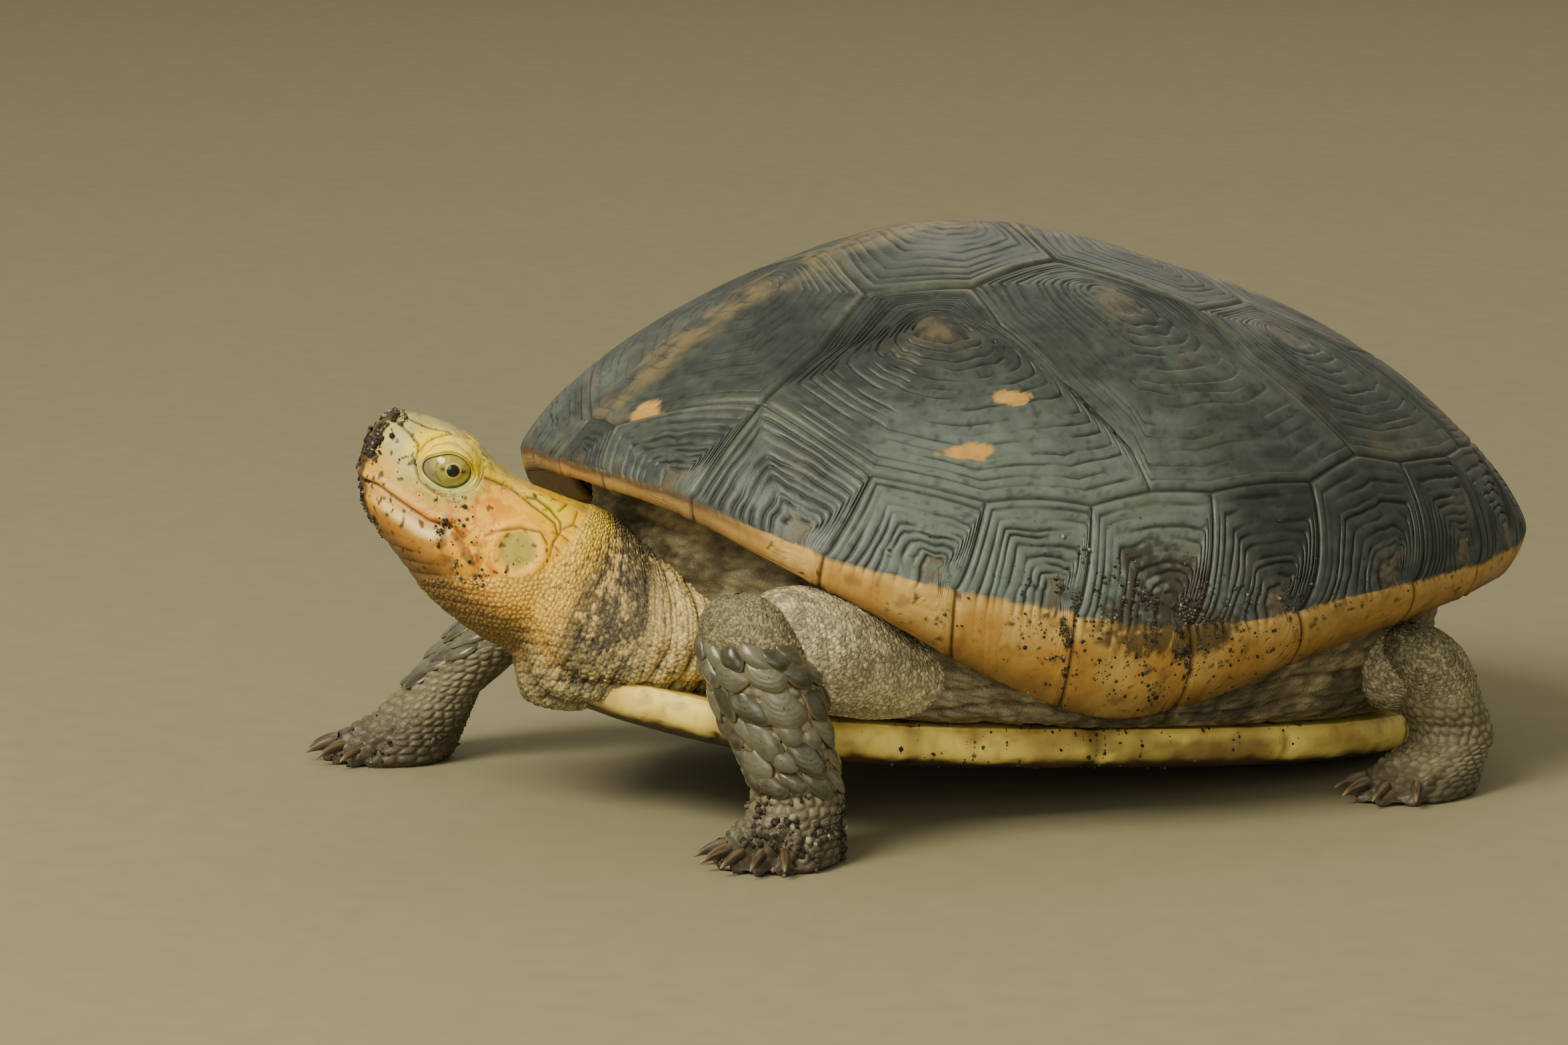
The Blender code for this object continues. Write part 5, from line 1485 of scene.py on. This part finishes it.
def make_plates(side, leg, stations):
    """Big overlapping horn plates down the front of a forearm."""
    dice = np.random.default_rng(PLATE_SEED)
    flip = side == "right"
    length = np.linalg.norm(np.array(leg[1]) - np.array(leg[0]))
    shares = np.array([row[0] for row in FORELEG_GIRTH])
    full = [tuple(row) + (2.0, 2.0) for row in stations]
    index = np.arange(len(shares)) / (len(full) - 1.0)
    around = np.linspace(0.0, 2.0 * math.pi, 40, endpoint=False)[None]
    out = np.concatenate([np.linspace(0.03, 0.88, 12), (0.94, 0.99, 1.03, 1.07)])[:, None]
    grids = []
    for share, plates in FOREARM_PLATES:
        for degrees, wide, long in plates:
            wide, long = wide * dice.uniform(0.94, 1.1) + 0.45, long * dice.uniform(0.95, 1.15) + 1.1
            degrees += dice.uniform(-4.0, 4.0)
            turn = math.radians(180.0 - degrees if flip else degrees)
            share_here = share + dice.uniform(-0.022, 0.022)
            # rounded at the root, blunt-pointed at the free end
            power = np.where(np.sin(around) > 0.0, 2.5, 1.75)
            squash = np.abs(np.cos(around)) ** power + np.abs(np.sin(around)) ** power
            squash = 1.0 / squash ** (1.0 / power)
            edge = squash * (1.0 + 0.05 * np.sin(around * 3.0 + dice.uniform(0.0, 6.0))
                             + 0.04 * np.sin(around * 5.0 + dice.uniform(0.0, 6.0)))
            across = out * edge * np.cos(around) * wide / 2.0
            below = -out * edge * np.sin(around) * long / 2.0
            # a narrow root and a broad free end, the whole a little askew
            lean = dice.uniform(0.02, 0.5) * (1.0 if flip else -1.0)
            across = across * (1.0 + 0.15 * below / long) + below * lean
            place = np.interp(share_here + below / length, shares, index)
            angle = turn + across / 7.2
            base = tube_at(full, place, angle)
            centre = tube_at(full, place, angle + math.pi)
            away = base - (base + centre) / 2.0
            away[..., 2] = 0.0
            away /= np.linalg.norm(away, axis=-1, keepdims=True)
            hill = np.minimum(out, 1.0)
            tip = below / long
            rise = PLATE_LIFT * (1.0 - hill**2.2) * min(1.4, 0.55 + wide / 7.0)
            rise = rise + 0.26 * PLATE_LIFT * (below + 0.2 * long)
            rise = rise + PLATE_LIFT * dice.uniform(0.0, 0.45) + 0.12
            rise = rise - 5.0 * np.maximum(0.0, out - 1.0) * (1.0 + 0.8 * tip)
            ripple = np.sin(np.hypot(across, below + long * 0.28) * 2.0 * math.pi / 0.8)
            rise = rise - 0.04 * ripple * blend(1.0, 0.85, out) * blend(4.4, 6.0, wide)
            grid = Grid(base + away * rise[..., None], True, (base + centre).reshape(-1, 3).mean(0) / 2.0)
            cloud = fractal(grid.points, 2.2, PLATE_SEED + 3)
            shade = np.clip(blend(0.25, 0.75, cloud + 0.7 * (dice.random() - 0.5)), 0.0, 1.0)
            tint = mix(PLATE_DARK, PLATE_OLIVE, shade)
            pale = 0.7 * blend(4.4, 6.4, wide) * dice.uniform(0.4, 1.0)
            tint = layers(
                tint,
                (PLATE_PALE, pale * blend(0.95, 0.5, out)),
                ((0.19, 0.135, 0.060), 0.5 * blend(0.78, 0.98, out)),
                # painted shade: near black round the rim and skirt of each plate, and darker at its root
                # under the plate above
                ((0.012, 0.010, 0.006), 0.85 * blend(0.99, 1.04, out)),
                ((0.02, 0.016, 0.01), 0.4 * blend(-0.3, -0.5, tip)),
            )
            grid.tint = mix(tint, (0.02, 0.016, 0.01), 0.3 * bump(ripple + 1.0, 0.4) * blend(3.8, 5.4, wide))
            grid.shine = 0.75 + 0.25 * cloud
            grids.append(grid)
    add_piece(f"foreleg_plates_{side}", grids, PLATE_HORN)


UP = np.array((0.0, 0.0, 1.0))


def make_claws(side, kind, leg):
    """Curved, pointed claws in a fan along the front of a foot."""
    joint, sole = np.array(leg[1]), np.array(leg[2])
    heading = math.radians(leg[3])
    share, side_reach, front_reach, step = kind.foot[2]
    ahead, left = compass(heading)
    centre = joint + (sole - joint) * share + ahead * step
    turn = np.linspace(0.0, 2.0 * math.pi, 20, endpoint=False)[None]
    along = np.concatenate([np.linspace(0.0, 0.9, 16), (0.95, 0.985, 1.0)])[:, None]
    grids = []
    for toe in range(kind.toes):
        spread = math.radians(CLAW_FAN) * (2.0 * toe / (kind.toes - 1) - 1.0)
        root = centre + left * side_reach * math.sin(spread) + ahead * front_reach * math.cos(spread)
        root[2] = CLAW_HEIGHT
        out, flank = compass(heading + spread * CLAW_SPLAY)
        far = CLAW_LENGTH * (along - 0.26)
        drop = 0.05 + 0.42 * along**1.8 * 4.2 - 0.35 * along
        radius = CLAW_RADIUS * (1.0 - along**1.6) ** 0.8 + 0.04
        middle = root + out * far[..., None] - UP * drop[..., None]
        points = middle + flank * (radius * 0.85 * np.cos(turn))[..., None]
        points = points + UP * (radius * (np.sin(turn) * 1.1))[..., None]
        points[..., 2] = np.maximum(points[..., 2], 0.05)
        grid = Grid(points, True, root - UP)
        grid.normal = (points - middle) / (np.linalg.norm(points - middle, axis=-1, keepdims=True) + 1e-9)
        streak = noise(stacked(np.cos(turn) * 3.0, np.sin(turn) * 3.0, along * 1.5), 1.0, 80 + toe)
        tint = mix((0.045, 0.034, 0.022), (0.14, 0.10, 0.055), blend(0.35, 0.75, streak))
        grid.tint = mix(tint, (0.24, 0.19, 0.11), blend(0.7, 1.0, along))
        grid.shine = np.full(streak.shape, 0.6)
        grids.append(grid)
    nodes = tuple(f"{kind.name}claw_{side}_{number}" for number in range(1, kind.toes + 1))
    add_piece(f"{kind.name}claws_{side}", grids, CLAW_HORN, nodes)


def make_limbs():
    """The four legs. Gives the skins of the forelegs, which soil is put on."""
    feet = {}
    for side, kind, leg, arm in LEGS:
        skin, stations = make_leg(side, kind, leg, arm)
        if kind is FORE:
            feet[side] = skin
            make_plates(side, leg, stations)
        make_claws(side, kind, leg)
    return feet


def make_tail():
    """The short tail, turned to the left."""
    grid, along, angle = tube(TAIL, 90, 0.3)
    grain, chance = granules(grid, along, angle, 1.3, 1.3, 8, 0.3)
    cloud = fractal(grid.points, 5.0, 81)
    grid.push(0.22 * grain * blend(0.0, 3.0, along.max() - along))
    limb_paint(grid, grain, chance, cloud, 0.35 * blend(0.5, 0.8, chance))
    grid.scaly = np.full(along.shape, 0.6)
    add_piece("tail_skin", [grid], LEG_SKIN, ("tail",))


TRUNK_SHRINK, TRUNK_SHRINK_CENTRE = 0.97, np.array((0.0, 0.0, 12.0))
TRUNK_BELLY = ((1.0, 0.0), (0.985, 0.5), (0.95, 0.9), (0.8, 1.0))


def make_body():
    """The skin between the shell's lip and the plastron, and the body's wall above it."""
    angle = np.linspace(-math.pi, math.pi, int(320 / COARSE), endpoint=False)[None]
    share = np.linspace(0.0, 1.0, int(84 / COARSE))[:, None]
    lip = lower_edge(*crossed(angle, np.full(share.shape, 2.0)))
    lip = TRUNK_SHRINK_CENTRE + (lip - TRUNK_SHRINK_CENTRE) * TRUNK_SHRINK
    spread, down = np.moveaxis(spline(TRUNK_BELLY, crossed(share, angle)[0]), -1, 0)
    x, y = lip[..., 0] * spread, lip[..., 1] * spread
    belly = PLASTRON_TOP + 0.3 + GULAR_LIFT * blend(48.0, 76.0, -y)
    z = lip[..., 2] + (belly - lip[..., 2]) * down
    top_share = np.linspace(0.5, 0.999, int(24 / COARSE))[:, None]
    above = dome(*crossed(angle, top_share), WALL)
    above = TRUNK_SHRINK_CENTRE + (above - TRUNK_SHRINK_CENTRE) * TRUNK_SHRINK
    points = shell_to_world(np.concatenate([above, np.stack([x, y, z], -1)]))
    grid = Grid(points, True, (0.0, 8.0, 30.0))
    border, _ = cells_in_space(points, 1.5, 82, 0.6)
    grain = blend(0.0, 0.4, border)
    cloud = fractal(points, 7.0, 83)
    folds = np.abs(np.sin(points[..., 2] * 0.9 + 3.0 * fractal(points, 9.0, 84)))
    grid.push(0.25 * grain - 0.7 * (1.0 - folds) ** 3)
    # painted shade: the body skin's colours are dark, as it lies in shade under the shell
    tint = mix((0.13, 0.11, 0.060), (0.36, 0.31, 0.18), blend(0.35, 0.7, cloud))
    soiled = 0.8 * bump(points[..., 1] - 12.0, 30.0) * blend(0.3, 0.55, fractal(points, 3.0, 86))
    tint = mix(tint, DIRT, soiled)
    # painted shade: darker in the folds
    tint = mix(tint, (0.06, 0.046, 0.026), 0.7 * (1.0 - folds) ** 3)
    grid.scaly = np.full(cloud.shape, 0.5)
    # painted shade between the granules, lighter on their tops
    grid.tint = tint * (0.55 + 0.55 * grain)[..., None]
    grid.shine = 0.3 * grain
    add_piece("body_skin", [grid], SKIN, ("trunk",))


# ---------------------------------------------------------------- crumbs of damp soil

def crumbs(name, places, seed):
    """Small rough grains stuck on a surface: lists of spots, normals and sizes."""
    dice = np.random.default_rng(seed)
    spots, normals, sizes = (np.concatenate(values) for values in zip(*places))
    ball, faces = small_ball()
    count, corners = len(spots), len(ball)
    grains = ball[None] * dice.uniform(0.55, 1.0, (count, 1, 3)) * dice.uniform(0.7, 1.3, (count, corners, 1))
    axes = np.linalg.qr(dice.normal(size=(count, 3, 3)))[0]
    grains = np.einsum("nck,nkj->ncj", grains, axes) * sizes[:, None, None] / 2.0
    grains = grains + (spots + normals * sizes[:, None] * 0.2)[:, None]
    grains[..., 2] = np.maximum(grains[..., 2], 0.03)
    every = (faces[None] + corners * np.arange(count)[:, None, None]).reshape(-1, 3)
    piece = add_mesh(name, grains.reshape(-1, 3), every, SOIL)
    shade = dice.choice(CRUMB_SHADES, count, p=CRUMB_SHARES)
    tint = np.ones((count, corners, 4))
    tint[..., :3] = (np.array(CRUMB_BROWN) * shade[:, None])[:, None]
    piece.data.attributes.new("tint", "FLOAT_COLOR", "POINT").data.foreach_set("color", tint.ravel())
    side = math.ceil(math.sqrt(count))
    patch = np.stack([np.arange(count) % side, np.arange(count) // side], -1)[:, None]
    flat = (patch + 0.5 + 0.4 * ball[None, :, :2]) / side
    layer = piece.data.uv_layers.new(name="OFBake")
    layer.data.foreach_set("uv", flat.reshape(-1, 2)[every.ravel()].astype(np.float32).ravel())
    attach(piece, "root")


def small_ball():
    """Points and triangles of a small round grain."""
    flat = []
    for ring, height in ((0.0, 0.5), (0.5, -0.5)):
        for step in range(5):
            turn = (step + ring) * 2.0 * math.pi / 5.0
            flat.append((0.87 * math.cos(turn), 0.87 * math.sin(turn), height))
    points = np.array([(0.0, 0.0, 1.0), *flat, (0.0, 0.0, -1.0)])
    faces = []
    for step in range(5):
        a, b = 1 + step, 1 + (step + 1) % 5
        c, d = 6 + step, 6 + (step + 1) % 5
        faces += [(0, a, b), (a, c, b), (b, c, d), (11, d, c)]
    return points, np.array(faces)


def scatter(grid, weight, count, small, large, seed):
    """Random places on a grid where the weight is high, their normals and sizes."""
    dice = np.random.default_rng(seed)
    clumped = np.maximum(weight, 0.0) * blend(0.42, 0.6, fractal(grid.points, 2.4, seed)) ** 2
    chance = clumped.ravel()
    pick = dice.choice(len(chance), count, p=chance / chance.sum())
    size = small + (large - small) * dice.random(count) ** 4
    return grid.points.reshape(-1, 3)[pick], grid.normal.reshape(-1, 3)[pick], size


CRUMB_BROWN = (0.044, 0.037, 0.026)
CRUMB_SHADES, CRUMB_SHARES = (0.5, 0.9, 1.5, 3.0, 6.5), (0.27, 0.30, 0.23, 0.14, 0.06)
SOIL = painted("damp_soil", 0.75, 0.6, 0.35, 0.0003, 0.0001)


# single crumbs on the face: under the eye, which was measured, on the crown in front of it, below the nose
# line and on the cheek, as (forward of the eyes, above them, size) in mm
CRUMBS_ON_FACE = ((-2.5, -2.7, 1.35), (6.9, -0.9, 0.9), (12.2, 0.6, 1.1), (-3.6, -4.2, 0.6))


def soil_the_head():
    ahead, up, left = HEAD_AHEAD, HEAD_UP, HEAD_LEFT
    tip = blend(3.2, 0.8, from_front(ahead, up)) * blend(4.2, 2.6, up) * blend(-14.0, -12.0, up)
    chin = blend(5.0, 1.5, from_front(ahead, up)) * blend(-8.0, -10.0, up) * blend(-15.0, -13.0, up)
    left_side = blend(0.0, 3.0, left)
    corner = bump(gap_to_line(ahead, up, ((-2.0, -7.4), (-5.5, -9.0), (-8.5, -11.5))), 1.4) * left_side
    cheek = bump(np.hypot(ahead + 6.0, up + 8.0), 5.0) * left_side
    face = blend(-8.0, 2.0, ahead) * blend(-9.0, -3.0, up) * left_side
    places = [
        scatter(HEAD_SKIN, tip, 2300, 0.16, 1.0, 201), scatter(HEAD_SKIN, chin, 420, 0.16, 0.9, 202),
        scatter(HEAD_SKIN, corner, 170, 0.16, 0.85, 203), scatter(HEAD_SKIN, cheek, 70, 0.15, 0.6, 204),
        scatter(HEAD_SKIN, face, 50, 0.15, 0.5, 205),
    ]
    for spot_ahead, spot_up, size in CRUMBS_ON_FACE:
        gap = np.hypot(ahead - spot_ahead, up - spot_up) + 99.0 * (left < 0.0)
        nearest = np.argmin(gap)
        spot, normal = (values.reshape(-1, 3)[nearest] for values in (HEAD_SKIN.points, HEAD_SKIN.normal))
        places.append((spot[None], normal[None], np.array([size])))
    crumbs("soil_on_head", places, 210)


def soil_the_feet(feet):
    """Thick soil on the near forefoot, less on the far one."""
    near, far = feet["left"], feet["right"]
    places = [
        scatter(near, blend(13.5, 5.0, near.points[..., 2]), 2900, 0.2, 1.5, 211),
        scatter(far, blend(9.0, 2.0, far.points[..., 2]), 700, 0.2, 1.2, 212),
    ]
    crumbs("soil_on_feet", places, 220)


def soil_the_shell(margins, plastron):
    """Soil along the left bridge and on the plastron's edge below it."""
    places = []
    for number, grid in enumerate(margins):
        angle = np.degrees(np.arctan2(grid.points[..., 0], -(grid.points[..., 1] - SHELL_AT[1])))
        band = bump(angle - 84.0, 17.0) * bump(grid.points[..., 2] - 30.0, 15.0) ** 2
        amount = int(3400 * float(band.mean()))
        if amount > 5:
            places.append(scatter(grid, band, amount, 0.14, 0.8, 230 + number))
    edge = blend(30.0, 42.0, plastron.points[..., 0]) * bump(plastron.points[..., 1] - 0.0, 34.0)
    places.append(scatter(plastron, edge, 350, 0.2, 0.9, 250))
    crumbs("soil_on_shell", places, 260)


FEET = make_limbs()
make_tail()
make_body()
soil_the_head()
soil_the_feet(FEET)
soil_the_shell(MARGINS, PLASTRON)


# ---------------------------------------------------------------- floor, light and camera

FLOOR_REACH = 3000.0


def make_floor():
    """A flat floor of studio paper, wide enough to fill the picture."""
    corners = np.array(((-1.0, -1.0, 0.0), (1.0, -1.0, 0.0), (1.0, 1.0, 0.0), (-1.0, 1.0, 0.0)))
    add_mesh("studio_floor", corners * FLOOR_REACH, np.array(((0, 1, 2, 3),)), studio_paper())


def studio_paper():
    material = bpy.data.materials.new("studio_paper")
    material.use_nodes = True
    tree = material.node_tree
    shader = tree.nodes["Principled BSDF"]
    shader.inputs["Roughness"].default_value = 0.9
    shader.inputs["Specular IOR Level"].default_value = 0.15
    fleck = add_node(tree, "TexNoise", Scale=900.0, Detail=3.0)
    ramp = add_node(tree, "ValToRGB")
    ramp.color_ramp.elements[0].color = (0.235, 0.220, 0.138, 1.0)
    ramp.color_ramp.elements[1].color = (0.280, 0.260, 0.168, 1.0)
    wire(tree, fleck, "Fac", ramp, "Fac")
    wire(tree, ramp, "Color", shader, "Base Color")
    return material


def add_lamp(name, place, size, power, colour):
    lamp = bpy.data.lights.new(name, "AREA")
    lamp.shape = "DISK"
    lamp.size = size
    lamp.energy = power
    lamp.color = colour
    thing = bpy.data.objects.new(name, lamp)
    bpy.context.scene.collection.objects.link(thing)
    thing.location = place
    aim = Vector((0.0, 0.0, 0.04)) - thing.location
    thing.rotation_euler = aim.to_track_quat("-Z", "Y").to_euler()


def make_light():
    world = bpy.data.worlds.new("studio")
    bpy.context.scene.world = world
    world.use_nodes = True
    background = world.node_tree.nodes["Background"]
    background.inputs["Color"].default_value = (0.95, 0.88, 0.66, 1.0)
    background.inputs["Strength"].default_value = 0.46
    add_lamp("key", (0.30, -0.90, 0.95), 0.7, 21.5, (1.0, 0.92, 0.70))
    add_lamp("fill", (1.05, -0.65, 0.30), 0.8, 4.6, (1.0, 0.94, 0.78))
    add_lamp("rim", (-0.7, 0.6, 0.9), 0.7, 2.5, (1.0, 0.95, 0.82))


# the two angles, the width and the shift come from the program that fitted shell and camera to the photo
CAMERA_TURN, CAMERA_RISE, CAMERA_FAR = 61.589, 9.51, 1300.0
PICTURE_WIDTH = 246.83  # millimetres of the plane through the shell that the picture is wide
PICTURE_SHIFT = (-33.20, 7.465)  # of the picture's middle from the shell, to the right and up


def make_camera():
    turn, rise = math.radians(CAMERA_TURN), math.radians(CAMERA_RISE)
    back = Vector((math.sin(turn) * math.cos(rise), -math.cos(turn) * math.cos(rise), math.sin(rise)))
    right = Vector((math.cos(turn), math.sin(turn), 0.0))
    up = back.cross(right)
    aim = Vector(SHELL_AT) + right * PICTURE_SHIFT[0] + up * PICTURE_SHIFT[1]
    camera = bpy.data.cameras.new("camera")
    camera.sensor_width = 36.0
    camera.lens = camera.sensor_width * CAMERA_FAR / PICTURE_WIDTH
    camera.clip_start, camera.clip_end = 0.05, 20.0
    thing = bpy.data.objects.new("camera", camera)
    bpy.context.scene.collection.objects.link(thing)
    matrix = Matrix((right, up, back)).transposed().to_4x4()
    matrix.translation = (aim + back * CAMERA_FAR) * MM
    thing.matrix_world = matrix
    bpy.context.scene.camera = thing


make_floor()
make_light()
make_camera()
